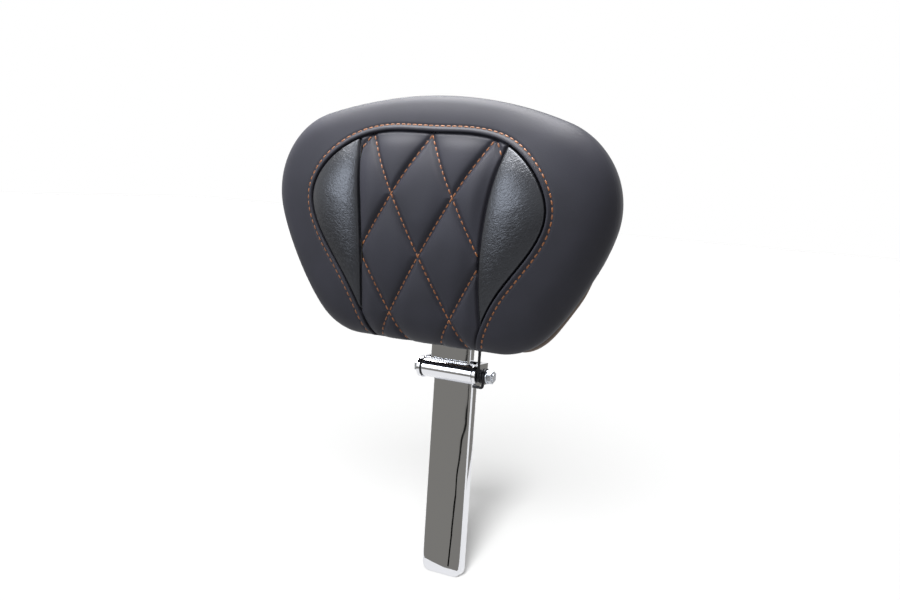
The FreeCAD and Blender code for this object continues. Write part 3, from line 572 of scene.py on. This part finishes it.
def border_depth(x, z):
    """Depth of the border's face, with its tucked seam, its lip and the dip under its stitches."""
    away = inset_seam.distance(x, z)
    lip = LIP_HEIGHT * ridge(away - LIP_AT, LIP_WIDTH)
    tuck = TUCK_DEPTH * ridge(away, TUCK_WIDTH)
    dip = STITCH_DIP * ridge(away - TOPSTITCH_AT, STITCH_DIP_WIDTH)
    return face_depth(x, z) + lip - tuck - dip


# Rows of the face from the inset seam out to the rim, closest together at both
border_columns = 520
border_rows = 56
seam_edge = evenly(inset_seam.points, border_columns)
half = half_outline(0)
beside_foot = (half[:, 0] > FOOT_X) | (half[:, 1] > CROWN_Z)
half_edge = np.concatenate([[(FOOT_X, PAD_BOTTOM)], half[beside_foot]])
outer_edge = evenly(both_halves(half_edge), border_columns)
border_points = []
for i in range(border_rows):
    step = i / (border_rows - 1)
    share = (1 - step) * step ** 1.5 + step * (1 - (1 - step) ** 2)
    row = seam_edge + share * (outer_edge - seam_edge)
    depth = border_depth(row[:, 0], row[:, 1])
    if i == border_rows - 1:
        depth = rim_depth(row[:, 0], row[:, 1])
    border_points += [(x, -d, z) for (x, z), d in zip(row, depth)]
border_faces = grid_faces(border_rows, border_columns)

# Flare of the back seam low down, where the back panel stands out past the border
FLARE = 4.3
FLARE_TOP = 102
FLARE_FADE = 38
FLARE_DEPTH = 8
FOOT_FLARE = 7.8
FOOT_Z = 30
FOOT_FADE = 12
MIDDLE_SHARE = 0.4
MIDDLE_FADE = 74

# The border's heel, tucked in above that flare, and the crevice between the two
HEEL_TUCK = 6
HEEL_DEPTH = 34
HEEL_FADE = 16
HEEL_END = 3
CREVICE_TUCK = 4
CREVICE_DEPTH = 8.5
CREVICE_WIDTH = 2.2

# Fold that takes up the slack at the right flank: a ridge with a crease below it
FOLD_Z = 92
FOLD_RISE = 1.5
FOLD_WIDTH = 2.6
FOLD_DEPTH = 14
FOLD_SPREAD = 9
CREASE_BELOW = 8
CREASE_TUCK = 3.2
CREASE_WIDTH = 4.5


def low_share(edge):
    """Share of the tucked heel along the outline: none above the flank's middle, all below it."""
    return ease((FLARE_TOP - edge[:, 1]) / FLARE_FADE)


def flare_reach(edge):
    """How far the back seam stands out along the outline: most at the foot's corners, less in its middle."""
    corner = ease(np.abs(edge[:, 0]) / MIDDLE_FADE)
    foot = FOOT_FLARE * np.exp((FOOT_Z - edge[:, 1]) / FOOT_FADE)
    return low_share(edge) * (FLARE + foot) * (MIDDLE_SHARE + (1 - MIDDLE_SHARE) * corner)


def inward_ways(edge, closed):
    """Directions into the pad, square to a stretch of its outline."""
    ahead = np.roll(edge, -1, axis=0) - edge
    behind = edge - np.roll(edge, 1, axis=0)
    if not closed:
        ahead[-1] = behind[-1]
        behind[0] = ahead[0]
    along = ahead + behind
    inward = np.stack([-along[:, 1], along[:, 0]], axis=1)
    return inward / np.linalg.norm(inward, axis=1)[:, None]


side_rows = 44


def side_strip(edge):
    """Points of the pad's side, row by row from the rim back to the seam, along a stretch of the outline."""
    inward = inward_ways(edge, closed=False)
    low = low_share(edge)
    flare = flare_reach(edge)
    fold = FOLD_RISE * ridge(edge[:, 1] - FOLD_Z, FOLD_WIDTH)
    fold -= CREASE_TUCK * ridge(edge[:, 1] - FOLD_Z + CREASE_BELOW, CREASE_WIDTH)
    fold = np.where(edge[:, 0] > 0, fold, 0)
    squeeze = (rim_depth(edge[:, 0], edge[:, 1]) - SEAM_DEPTH) / (RIM_DEPTH - SEAM_DEPTH)
    strip = []
    for inset, depth in evenly(side_section, side_rows):
        rear = max(0.0, (FLARE_DEPTH - depth) / (FLARE_DEPTH - SEAM_DEPTH))
        heel = HEEL_TUCK * ease((HEEL_DEPTH - depth) / HEEL_FADE) * ease((depth - SEAM_DEPTH) / HEEL_END)
        crevice = CREVICE_TUCK * ridge(depth - CREVICE_DEPTH, CREVICE_WIDTH)
        side = ridge(depth - FOLD_DEPTH, FOLD_SPREAD)
        reach = inset - flare * rear ** 1.5 + low * (heel + crevice) - fold * side
        ring = edge + reach[:, None] * inward
        back = SEAM_DEPTH + (depth - SEAM_DEPTH) * squeeze
        strip += [(x, -d, z) for (x, z), d in zip(ring, back)]
    return strip


start = len(border_points)
border_points += side_strip(outer_edge)
border_faces += grid_faces(side_rows, border_columns, start=start)
bottom_columns = 60
bottom_x = np.linspace(-FOOT_X, FOOT_X, bottom_columns)
bottom_edge = np.stack([bottom_x, np.full(bottom_columns, PAD_BOTTOM)], axis=1)
start = len(border_points)
border_points += side_strip(bottom_edge)
border_faces += grid_faces(side_rows, bottom_columns, start=start)
border = add_piece("border_vinyl", "pad_side", from_hinge(border_points), border_faces, vinyl)


def join_seams(piece, reach):
    """Join points that meet along the edges of a piece's patches, and turn its faces outward."""
    work = bmesh.new()
    work.from_mesh(piece.data)
    bmesh.ops.remove_doubles(work, verts=work.verts, dist=reach * MM)
    bmesh.ops.recalc_face_normals(work, faces=work.faces)
    work.to_mesh(piece.data)
    work.free()


join_seams(border, reach=0.02)
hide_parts("border_cover")

# Side inserts
# Glossy crinkled vinyl, cut long and gathered into the seams, so that it puckers across. Each is sewn
# under the border's lip on its outer side and to the quilted panel on its inner side.

# Crinkled patent vinyl: black, glossy, with fine puckers that run across the insert
PUCKER_MM = 1.7
PUCKER_STRETCH = 2.4
PUCKER_SLANT = -0.45
CRACKLE_MM = 0.9
patent, tree, shader = new_material("crinkled_vinyl")
place = add_node(tree, "ShaderNodeTexCoord").outputs["Object"]
mirrored = add_node(tree, "ShaderNodeVectorMath", {"Vector": place}, operation="ABSOLUTE")
gathered = add_node(tree, "ShaderNodeMapping",
                    {"Vector": mirrored.outputs["Vector"], "Scale": (PUCKER_STRETCH, PUCKER_STRETCH, 1.0),
                     "Rotation": (0, PUCKER_SLANT, 0)}, vector_type="TEXTURE")
pucker = add_node(tree, "ShaderNodeTexNoise",
                  {"Vector": gathered.outputs["Vector"], "Scale": per_metre(PUCKER_MM), "Detail": 4.0,
                   "Distortion": 1.1})
crackle = add_node(tree, "ShaderNodeTexNoise",
                   {"Vector": place, "Scale": per_metre(CRACKLE_MM), "Detail": 2.0})
ridges = add_node(tree, "ShaderNodeBump",
                  {"Height": pucker.outputs["Fac"], "Strength": 0.33, "Distance": 0.0009})
both = add_node(tree, "ShaderNodeBump",
                {"Height": crackle.outputs["Fac"], "Strength": 0.10, "Distance": 0.0003,
                 "Normal": ridges.outputs["Normal"]})
gloss = add_node(tree, "ShaderNodeMapRange", {"Value": pucker.outputs["Fac"], "To Min": 0.24, "To Max": 0.38})
shader.inputs["Base Color"].default_value = colour("#0b0b0e")
# Its reflections are tinted a little blue: painted light that stands in for the bluish light the inserts
# mirror
shader.inputs["Specular Tint"].default_value = (0.87, 0.91, 1.0, 1)
shader.inputs["Specular IOR Level"].default_value = 0.6
tree.links.new(gloss.outputs["Result"], shader.inputs["Roughness"])
tree.links.new(both.outputs["Normal"], shader.inputs["Normal"])

# Insert seam, between the insert and the quilted panel: nearest the middle at its waist, and curling out
# by 13 mm at 105 mm above or below it
WAIST_X = 54
WAIST_Z = 80
SEAM_CURL = 13 / 105 ** 2
SEAM_OVERRUN = 4


def insert_seam_x(z):
    """Half width between the two insert seams at a height."""
    return WAIST_X + SEAM_CURL * np.square(np.asarray(z) - WAIST_Z)


heights = np.linspace(PAD_BOTTOM, INSET_TOP + SEAM_OVERRUN, 400)
insert_seam = Line(np.stack([insert_seam_x(heights), heights], axis=1))
right_seam = inset_seam.points[:len(inset_seam.points) // 2]
beyond = right_seam[:, 0] > insert_seam_x(right_seam[:, 1])
insert_outer = right_seam[beyond]
low_end = insert_outer[0]
high_end = insert_outer[-1]

# How far the panels stand above the plain face and dip at their seams, and the insert's fullness
PANEL_RISE = 0.4
SEAM_DIP = 2.4
OUTER_DIP_WIDTH = 0.8
INNER_DIP_WIDTH = 1.2
INSERT_FULL = 5.0
OUTER_EASE = 12
INNER_EASE = 10


def insert_depth(x, z):
    """Depth of an insert's face, drawn down at both seams and full between them."""
    outer_gap = inset_seam.distance(np.abs(x), z)
    inner_gap = insert_seam.distance(np.abs(x), z)
    dip = SEAM_DIP * ridge(outer_gap, OUTER_DIP_WIDTH) + SEAM_DIP * ridge(inner_gap, INNER_DIP_WIDTH)
    fullness = INSERT_FULL * (1 - np.exp(-outer_gap / OUTER_EASE)) * (1 - np.exp(-inner_gap / INNER_EASE))
    return face_depth(x, z) + PANEL_RISE - dip + fullness


insert_rows = 150
insert_columns = 60
outer_line = evenly(insert_outer, insert_rows)
inner_heights = np.linspace(low_end[1], high_end[1], insert_rows)
inner_line = np.stack([insert_seam_x(inner_heights), inner_heights], axis=1)
inner_line[0] = low_end
inner_line[-1] = high_end
column_shares = 0.5 - 0.5 * np.cos(np.linspace(0, math.pi, insert_columns))
for side, name, node in ((-1, "left_patent_panel", "left_insert"), (1, "right_patent_panel", "right_insert")):
    points = []
    for outer_point, inner_point in zip(outer_line, inner_line):
        row = inner_point + column_shares[:, None] * (outer_point - inner_point)
        depth = insert_depth(row[:, 0], row[:, 1])
        points += [(side * x, -d, z) for (x, z), d in zip(row, depth)]
    insert = add_piece(name, "pad_side", from_hinge(points), grid_faces(insert_rows, insert_columns),
                       patent)
    join_seams(insert, reach=0.01)
    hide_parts(node)

# Quilted panel
# The same matte vinyl, sewn through to a foam backing along a lattice of crossing lines before it is set
# into the pad, so that each diamond stands up as a soft pillow between its stitched grooves.

DIAMOND_HALF_WIDTH = 28
DIAMOND_HALF_HEIGHT = 47
DIAMOND_Z = 96.5
GROOVE_DEPTH = 1.9
GROOVE_WIDTH = 2.4
PILLOW_HEIGHT = 3.0
PILLOW_EASE = 8
QUILT_DIP_WIDTH = 1.3
line_gap = 2 * DIAMOND_HALF_WIDTH * DIAMOND_HALF_HEIGHT / math.hypot(DIAMOND_HALF_WIDTH, DIAMOND_HALF_HEIGHT)


def lattice(x, z):
    """Counts of the quilting lines passed, rising and falling: whole numbers lie on a line."""
    across = np.asarray(x) / DIAMOND_HALF_WIDTH
    up = (np.asarray(z) - DIAMOND_Z) / DIAMOND_HALF_HEIGHT
    return 0.5 * (across - up), 0.5 * (across + up)


def lattice_gap(x, z):
    """Distance to the nearest quilting line."""
    rising, falling = lattice(x, z)
    off = np.minimum(np.abs(rising - np.round(rising)), np.abs(falling - np.round(falling)))
    return off * line_gap


def pillow_rise(x, z):
    """Height of a quilted pillow: 0 on the quilting lines, 1 in the middle of each diamond."""
    rising, falling = lattice(x, z)
    swell = np.abs(np.sin(math.pi * rising) * np.sin(math.pi * falling))
    return 1 - np.square(1 - swell)


def quilt_depth(x, z):
    """Depth of the quilted panel's face: pillows between grooves, drawn down at the panel's seams."""
    edge_gap = np.minimum(inset_seam.distance(x, z), insert_seam.distance(np.abs(x), z))
    dip = SEAM_DIP * ridge(edge_gap, QUILT_DIP_WIDTH)
    groove = GROOVE_DEPTH * ridge(lattice_gap(x, z), GROOVE_WIDTH)
    pillow = PILLOW_HEIGHT * pillow_rise(x, z) * (1 - ridge(edge_gap, PILLOW_EASE))
    return face_depth(x, z) + PANEL_RISE - dip - groove + pillow


def panel_half_width(z):
    """Half width of the quilted panel at a height: inside the insert seam, or the inset seam below it."""
    lower = right_seam[right_seam[:, 1] <= low_end[1] + 0.01]
    order = np.argsort(lower[:, 1])
    return np.where(z <= low_end[1], np.interp(z, lower[order, 1], lower[order, 0]), insert_seam_x(z))


# The inset seam's run over the top, above its shoulders
SHOULDER_Z = 150
top_line = inset_seam.points[np.argsort(inset_seam.points[:, 0])]
top_line = top_line[top_line[:, 1] > SHOULDER_Z]

# Columns lie a little closer together at the panel's sides, where the seams draw it down
CROWDING = 0.25
quilt_rows = 300
quilt_columns = 220
even = np.linspace(-1, 1, quilt_columns)
spread = CROWDING * np.sin(0.5 * math.pi * even) + (1 - CROWDING) * even
top_z = np.interp(spread * high_end[0], top_line[:, 0], top_line[:, 1])
quilt_points = []
for step in np.linspace(0, 1, quilt_rows):
    z = PAD_BOTTOM + step * (top_z - PAD_BOTTOM)
    x = spread * panel_half_width(z)
    quilt_points += list(zip(x, -quilt_depth(x, z), z))
quilt_faces = grid_faces(quilt_rows, quilt_columns)
quilt = add_piece("diamond_quilt", "pad_side", from_hinge(quilt_points), quilt_faces, vinyl)
join_seams(quilt, reach=0.01)
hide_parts("diamond_panel")

# Stitching
# Bonded polyester thread in copper, sewn by a heavy upholstery machine: along each quilting line through
# the panel, and once round the border's folded lip. Each stitch dives into the vinyl at both ends.

# Bonded thread: copper, a dry sheen, with the ply's twist along it
TWIST_MM = 0.7
thread, tree, shader = new_material("copper_thread")
place = add_node(tree, "ShaderNodeTexCoord").outputs["Object"]
ply = add_node(tree, "ShaderNodeTexNoise", {"Vector": place, "Scale": per_metre(TWIST_MM), "Detail": 2.0})
tone = add_node(tree, "ShaderNodeValToRGB", {"Fac": ply.outputs["Fac"]})
tone.color_ramp.elements[0].position = 0.3
tone.color_ramp.elements[0].color = colour("#4a2812")
tone.color_ramp.elements[1].position = 0.7
tone.color_ramp.elements[1].color = colour("#9a5c2a")
twist = add_node(tree, "ShaderNodeBump", {"Height": ply.outputs["Fac"], "Strength": 0.5, "Distance": 0.0002})
tree.links.new(tone.outputs["Color"], shader.inputs["Base Color"])
tree.links.new(twist.outputs["Normal"], shader.inputs["Normal"])
shader.inputs["Roughness"].default_value = 0.5

# Sizes of a stitch: how thin its tips are, how far its middle stands up and how steeply its ends dive
STITCH_PITCH = 5.2
STITCH_LENGTH = 4.4
THREAD_WIDTH = 1.35
THREAD_HEIGHT = 0.8
STITCH_TIP = 0.1
STITCH_LIFT = 0.25
STITCH_DIVE = 2.6
stitch_rings = 7
stitch_sides = 8


def add_stitches(name, lines, depth_at):
    """One mesh of stitches along lines in the pad's face, lying on the surface that depth_at gives."""
    points = []
    faces = []
    probe = 0.4
    for line in lines:
        run = np.linalg.norm(np.diff(line, axis=0), axis=1).sum()
        count = max(2, int(round(run / STITCH_PITCH)))
        marks = evenly(line, 2 * count + 1)
        for (x, z), way in zip(marks[1::2], marks[2::2] - marks[:-1:2]):
            tilt_x = (depth_at(x + probe, z) - depth_at(x - probe, z)) / (2 * probe)
            tilt_z = (depth_at(x, z + probe) - depth_at(x, z - probe)) / (2 * probe)
            way = way / np.linalg.norm(way)
            forward = Vector((way[0], -float(tilt_x * way[0] + tilt_z * way[1]), way[1])).normalized()
            outward = Vector((-float(tilt_x), -1, -float(tilt_z))).normalized()
            sideways = forward.cross(outward)
            centre = Vector((x, -float(depth_at(x, z)), z))
            first = len(points)
            for i in range(stitch_rings):
                share = -1 + 2 * i / (stitch_rings - 1)
                fat = STITCH_TIP + (1 - STITCH_TIP) * math.sqrt(1 - abs(share) ** 3)
                lift = STITCH_LIFT * THREAD_HEIGHT * (1 - STITCH_DIVE * share ** 4)
                for j in range(stitch_sides):
                    turn = 2 * math.pi * j / stitch_sides
                    points.append(centre + forward * (share * STITCH_LENGTH / 2)
                                  + sideways * (0.5 * THREAD_WIDTH * fat * math.cos(turn))
                                  + outward * (lift + 0.5 * THREAD_HEIGHT * fat * math.sin(turn)))
            faces += grid_faces(stitch_rings, stitch_sides, closed=True, start=first)
            faces.append(tuple(first + j for j in range(stitch_sides)))
            last = first + (stitch_rings - 1) * stitch_sides
            faces.append(tuple(last + j for j in reversed(range(stitch_sides))))
    add_piece(name, "pad_side", from_hinge(points), faces, thread)


# Quilting lines, each cut to the part that lies inside the quilted panel
TOP_MARGIN = 1.5
FOOT_MARGIN = 1
SIDE_MARGIN = 1.2
FEWEST_POINTS = 60
quilting = []
halves = np.linspace(-3, 3, 2400)
for side in (1, -1):
    for repeat in (-2, -1, 0, 1):
        x = side * (2 * DIAMOND_HALF_WIDTH * repeat + DIAMOND_HALF_WIDTH * halves)
        z = DIAMOND_Z + DIAMOND_HALF_HEIGHT * halves
        inside = (z > PAD_BOTTOM + FOOT_MARGIN) & (np.abs(x) < panel_half_width(z) - SIDE_MARGIN)
        inside &= z < np.interp(x, top_line[:, 0], top_line[:, 1]) - TOP_MARGIN
        if inside.sum() > FEWEST_POINTS:
            quilting.append(np.stack([x, z], axis=1)[inside])
add_stitches("quilt_stitching", quilting, quilt_depth)

# Topstitching: the inset seam moved out onto the border's lip
LIP_MARGIN = 2
seam_way = np.gradient(inset_seam.points, axis=0)
seam_out = np.stack([seam_way[:, 1], -seam_way[:, 0]], axis=1)
seam_out /= np.linalg.norm(seam_out, axis=1)[:, None]
topstitch = inset_seam.points + TOPSTITCH_AT * seam_out
topstitch = topstitch[topstitch[:, 1] > PAD_BOTTOM + LIP_MARGIN]
add_stitches("border_topstitching", [topstitch], border_depth)

# Back panel and welt
# Plain vinyl over the board, sewn to the border with a corded welt between them. It lies flat, because
# the tongue is bolted down on it, and eases over the board's edge to the welt.

CALENDER_MM = 0.8


def calendered_vinyl(name, code):
    """Smooth vinyl with a low sheen and a fine calendered grain."""
    smooth, tree, shader = new_material(name)
    place = add_node(tree, "ShaderNodeTexCoord").outputs["Object"]
    grain = add_node(tree, "ShaderNodeTexNoise",
                     {"Vector": place, "Scale": per_metre(CALENDER_MM), "Detail": 2.0})
    fine = add_node(tree, "ShaderNodeBump",
                    {"Height": grain.outputs["Fac"], "Strength": 0.12, "Distance": 0.0002})
    shader.inputs["Base Color"].default_value = colour(code)
    shader.inputs["Roughness"].default_value = 0.55
    shader.inputs["Specular IOR Level"].default_value = 0.3
    tree.links.new(fine.outputs["Normal"], shader.inputs["Normal"])
    return smooth


# Backing vinyl, brown black, and the browner strip that covers the welt's cord
backing = calendered_vinyl("backing_vinyl", "#322e2b")
welt_cover = calendered_vinyl("welt_vinyl", "#6a5d54")

# Section from the seam over the board's edge to the flat, by inset and depth, and rings to close the flat
BACK_FLAT = 40
BACK_DEPTH = 2
back_section = [(SEAM_INSET, SEAM_DEPTH), (16.5, 3.2), (19, 2.4), (24, 2.05), (BACK_FLAT, BACK_DEPTH)]
flat_shares = (0.8, 0.6, 0.4, 0.2, 0.02)
back_columns = 240
back_edge = closed_outline(0, back_columns)
back_inward = inward_ways(back_edge, closed=True)
back_flare = flare_reach(back_edge)


def back_ring(inset):
    """A ring of the back panel, drawn in from the outline, with its flare low down."""
    flare = back_flare * (BACK_FLAT - inset) / (BACK_FLAT - SEAM_INSET)
    return back_edge + (inset - flare)[:, None] * back_inward


back_points = []
for inset, depth in back_section:
    back_points += [(x, -depth, z) for x, z in back_ring(inset)]
for share in flat_shares:
    ring = middle + share * (back_ring(BACK_FLAT) - middle)
    back_points += [(x, -BACK_DEPTH, z) for x, z in ring]
back_rows = len(back_points) // back_columns
back_faces = grid_faces(back_rows, back_columns, closed=True)
back_faces.append(tuple(range((back_rows - 1) * back_columns, back_rows * back_columns)))
back = add_piece("back_vinyl", "pad_side", from_hinge(back_points), back_faces, backing)
join_seams(back, reach=0.01)
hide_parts("back_panel")

# The welt's cord stands a little out past the seam and behind it
WELT_RADIUS = 1.9
WELT_OUT = 0.6
WELT_BEHIND = 0.4
welt_line = [(x, WELT_BEHIND - SEAM_DEPTH, z) for x, z in back_ring(SEAM_INSET - WELT_OUT)]
welt = add_wire("corded_welt", "pad_side", from_hinge(welt_line), WELT_RADIUS, welt_cover,
                closed=True)
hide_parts("back_welt")

# Floor, light and camera
# A white sweep in soft even light, as a product photograph has it. Two lamps that light only the floor draw
# the shadow on it, a softbox and an overhead lamp model the pad, and glowing cards paint the reflections that
# give the chrome its greys.


def seen_directly(tree):
    """1 for what the camera sees, also in a mirror or through something clear, and 0 for other light."""
    path = add_node(tree, "ShaderNodeLightPath").outputs
    mirror = add_node(tree, "ShaderNodeMath",
                      {0: path["Is Camera Ray"], 1: path["Is Glossy Ray"]}, operation="MAXIMUM")
    clear = add_node(tree, "ShaderNodeMath",
                     {0: mirror.outputs["Value"], 1: path["Is Transmission Ray"]}, operation="MAXIMUM")
    return clear.outputs["Value"]


# White painted floor: pure white to the camera, apart from the shadow that falls on it
FLOOR_GLOW = 0.28
FLOOR_ALBEDO = 0.06
FLOOR_HALF = 6000
sweep, tree, shader = new_material("white_floor")
glow = add_node(tree, "ShaderNodeMath", {0: seen_directly(tree), 1: FLOOR_GLOW}, operation="MULTIPLY")
shader.inputs["Base Color"].default_value = (FLOOR_ALBEDO, FLOOR_ALBEDO, FLOOR_ALBEDO, 1)
shader.inputs["Roughness"].default_value = 0.9
shader.inputs["Specular IOR Level"].default_value = 0.1
shader.inputs["Emission Color"].default_value = (1, 1, 1, 1)
tree.links.new(glow.outputs["Value"], shader.inputs["Emission Strength"])


def add_flat(name, material, height, corners):
    """A level sheet of the stage, from its corners in millimetres."""
    mesh = bpy.data.meshes.new(name)
    mesh.from_pydata([Vector((x, y, height)) * MM for x, y in corners], [], [tuple(range(len(corners)))])
    mesh.materials.append(material)
    flat = bpy.data.objects.new(name, mesh)
    bpy.context.scene.collection.objects.link(flat)
    return flat


floor = add_flat("floor", sweep, 0, [(-FLOOR_HALF, -FLOOR_HALF), (FLOOR_HALF, -FLOOR_HALF),
                                     (FLOOR_HALF, FLOOR_HALF), (-FLOOR_HALF, FLOOR_HALF)])

# Soft light from all round, strongest from above, and a white background for the camera and for the chrome
SKY_LOW = 0.08
SKY_HIGH = 1.4
world = bpy.data.worlds.new("studio")
bpy.context.scene.world = world
world.use_nodes = True
tree = world.node_tree
way = add_node(tree, "ShaderNodeTexCoord").outputs["Generated"]
height = add_node(tree, "ShaderNodeSeparateXYZ", {"Vector": way}).outputs["Z"]
above = add_node(tree, "ShaderNodeMath", {0: height, 1: 0.0}, operation="MAXIMUM")
ceiling = add_node(tree, "ShaderNodeMath", {0: above.outputs["Value"], 1: 2.0}, operation="POWER")
dome = add_node(tree, "ShaderNodeMapRange",
                {"Value": ceiling.outputs["Value"], "To Min": SKY_LOW, "To Max": SKY_HIGH})
level = add_node(tree, "ShaderNodeMix",
                 {"Factor": seen_directly(tree), "A": dome.outputs["Result"], "B": 1.0})
tree.nodes["Background"].inputs["Color"].default_value = (1, 1, 1, 1)
tree.links.new(level.outputs["Result"], tree.nodes["Background"].inputs["Strength"])


def add_sun(name, way, strength, spread):
    """Even light from the way given, softened by a spread in degrees, that no chrome mirrors."""
    lamp = bpy.data.lights.new(name, "SUN")
    lamp.energy = strength
    lamp.angle = math.radians(spread)
    thing = bpy.data.objects.new(name, lamp)
    thing.rotation_euler = Vector(way).to_track_quat("Z", "Y").to_euler()
    thing.visible_glossy = False
    bpy.context.scene.collection.objects.link(thing)
    return thing


# The front light, and on the floor the wide and the narrow part of its shadow
FRONT_WAY = (0.321, -0.795, 0.515)
add_sun("front_light", FRONT_WAY, strength=0.3, spread=30)
floor_only = bpy.data.collections.new("floor_only")
floor_only.objects.link(floor)
pad_light = add_sun("pad_shadow_light", FRONT_WAY, strength=20.3, spread=26)
pad_light.light_linking.receiver_collection = floor_only
post_only = bpy.data.collections.new("post_only")
for name in ("post", "hinge_yoke"):
    post_only.objects.link(frame["nodes"][name])
post_light = add_sun("post_shadow_light", FRONT_WAY, strength=50, spread=13)
post_light.light_linking.receiver_collection = floor_only
post_light.light_linking.blocker_collection = post_only


def add_lamp(name, place_mm, target_mm, size_mm, watts):
    """A rectangular soft lamp that is turned toward a point."""
    lamp = bpy.data.lights.new(name, "AREA")
    lamp.shape = "RECTANGLE"
    lamp.size = size_mm[0] * MM
    lamp.size_y = size_mm[1] * MM
    lamp.energy = watts
    thing = bpy.data.objects.new(name, lamp)
    thing.location = Vector(place_mm) * MM
    way = (Vector(target_mm) * MM - thing.location).normalized()
    thing.rotation_euler = way.to_track_quat("-Z", "Y").to_euler()
    bpy.context.scene.collection.objects.link(thing)
    return thing


# The slightly blue softbox that the glossy inserts mirror, and a wide lamp overhead. Neither lights the floor.
SOFTBOX_FROM_PAD = np.array((-600, -984, 336))
OVERHEAD_FROM_PAD = np.array((-330, 0, 1100))
pad_middle = from_hinge((0, -RIM_DEPTH, CROWN_Z))
softbox = add_lamp("softbox", pad_middle + SOFTBOX_FROM_PAD, pad_middle, size_mm=(500, 650), watts=8.5)
softbox.data.color = (0.86, 0.92, 1.0)
overhead = add_lamp("overhead", pad_middle + OVERHEAD_FROM_PAD, pad_middle, size_mm=(1200, 1100), watts=85)
all_but_floor = bpy.data.collections.new("all_but_floor")
all_but_floor.objects.link(floor)
all_but_floor.collection_objects[0].light_linking.link_state = "EXCLUDE"
for lamp in (softbox, overhead):
    lamp.light_linking.receiver_collection = all_but_floor

# Glowing cards on the floor that the camera doesn't see: painted reflections for the post's flat face and side
# to mirror. They glow white when seen from above, a painted reflection, so that the round barrel's lower half
# mirrors white.
CARD_GREY = "#84827d"
CARD_BLACK = "#060606"
PAINTED_WHITE_UNTIL = 0.56
CARD_COLOUR_FROM = 0.645


def add_card(name, code, height, corners):
    """A glowing card that only mirrors see, a painted reflection: its own colour at a slant, and white from
    above.
    """
    card_glow, tree, shader = new_material(name)
    shader.inputs["Base Color"].default_value = (0, 0, 0, 1)
    shader.inputs["Specular IOR Level"].default_value = 0.0
    slant = add_node(tree, "ShaderNodeLayerWeight")
    # The glow is a painted reflection: white where the card is faced from above, its own colour at a slant
    painted_glow = add_node(tree, "ShaderNodeValToRGB", {"Fac": slant.outputs["Facing"]})
    painted_glow.color_ramp.elements[0].position = PAINTED_WHITE_UNTIL
    painted_glow.color_ramp.elements[0].color = (1, 1, 1, 1)
    painted_glow.color_ramp.elements[1].position = CARD_COLOUR_FROM
    painted_glow.color_ramp.elements[1].color = colour(code)
    tree.links.new(painted_glow.outputs["Color"], shader.inputs["Emission Color"])
    shader.inputs["Emission Strength"].default_value = 1.0
    card = add_flat(name, card_glow, height, corners)
    card.visible_camera = False
    card.visible_diffuse = False
    card.visible_shadow = False


add_card("grey_card", CARD_GREY, 2,
         [(-1500, -1800), (1400, -1800), (1400, -1056), (14, -17), (-3, -17), (-18, -22), (-33, -28),
          (-60, -10), (-1400, 600)])
add_card("side_card", CARD_GREY, 2, [(139, 206), (300, 200), (1100, 1100), (712, 1290), (296, 498)])
add_card("black_card", CARD_BLACK, 3,
         [(-1012, -1800), (-1007, -1800), (-395, -723), (-278, -518), (-133, -254), (0, -19), (-1.5, -19),
          (-135, -254), (-281, -518), (-398, -723)])

# Camera, at the photograph's angle, its lens fitted to a frame of 900 by 600
CAMERA_AZIMUTH = 31.03
CAMERA_HEIGHT = 6.43
CAMERA_ROLL = 3.71
CAMERA_DISTANCE = 948.5
CAMERA_TARGET = (-4.83, -9.5, 234.8)
CAMERA_LENS = 45.94
camera_data = bpy.data.cameras.new("camera")
camera_data.sensor_width = 36
camera_data.lens = CAMERA_LENS
camera_data.clip_start = 0.05
camera_data.clip_end = 50
camera = bpy.data.objects.new("camera", camera_data)
bpy.context.scene.collection.objects.link(camera)
turn = math.radians(CAMERA_AZIMUTH)
lift = math.radians(CAMERA_HEIGHT)
roll = math.radians(CAMERA_ROLL)
back_way = Vector((math.sin(turn) * math.cos(lift), -math.cos(turn) * math.cos(lift), math.sin(lift)))
right_way = Vector((math.cos(turn), math.sin(turn), 0))
up_way = back_way.cross(right_way)
rolled_right = right_way * math.cos(roll) + up_way * math.sin(roll)
rolled_up = up_way * math.cos(roll) - right_way * math.sin(roll)
stand = (Vector(CAMERA_TARGET) + back_way * CAMERA_DISTANCE) * MM
facing = Matrix((rolled_right, rolled_up, back_way)).transposed().to_4x4()
camera.matrix_world = Matrix.Translation(stand) @ facing
bpy.context.scene.camera = camera
bpy.context.scene.view_settings.view_transform = "Standard"
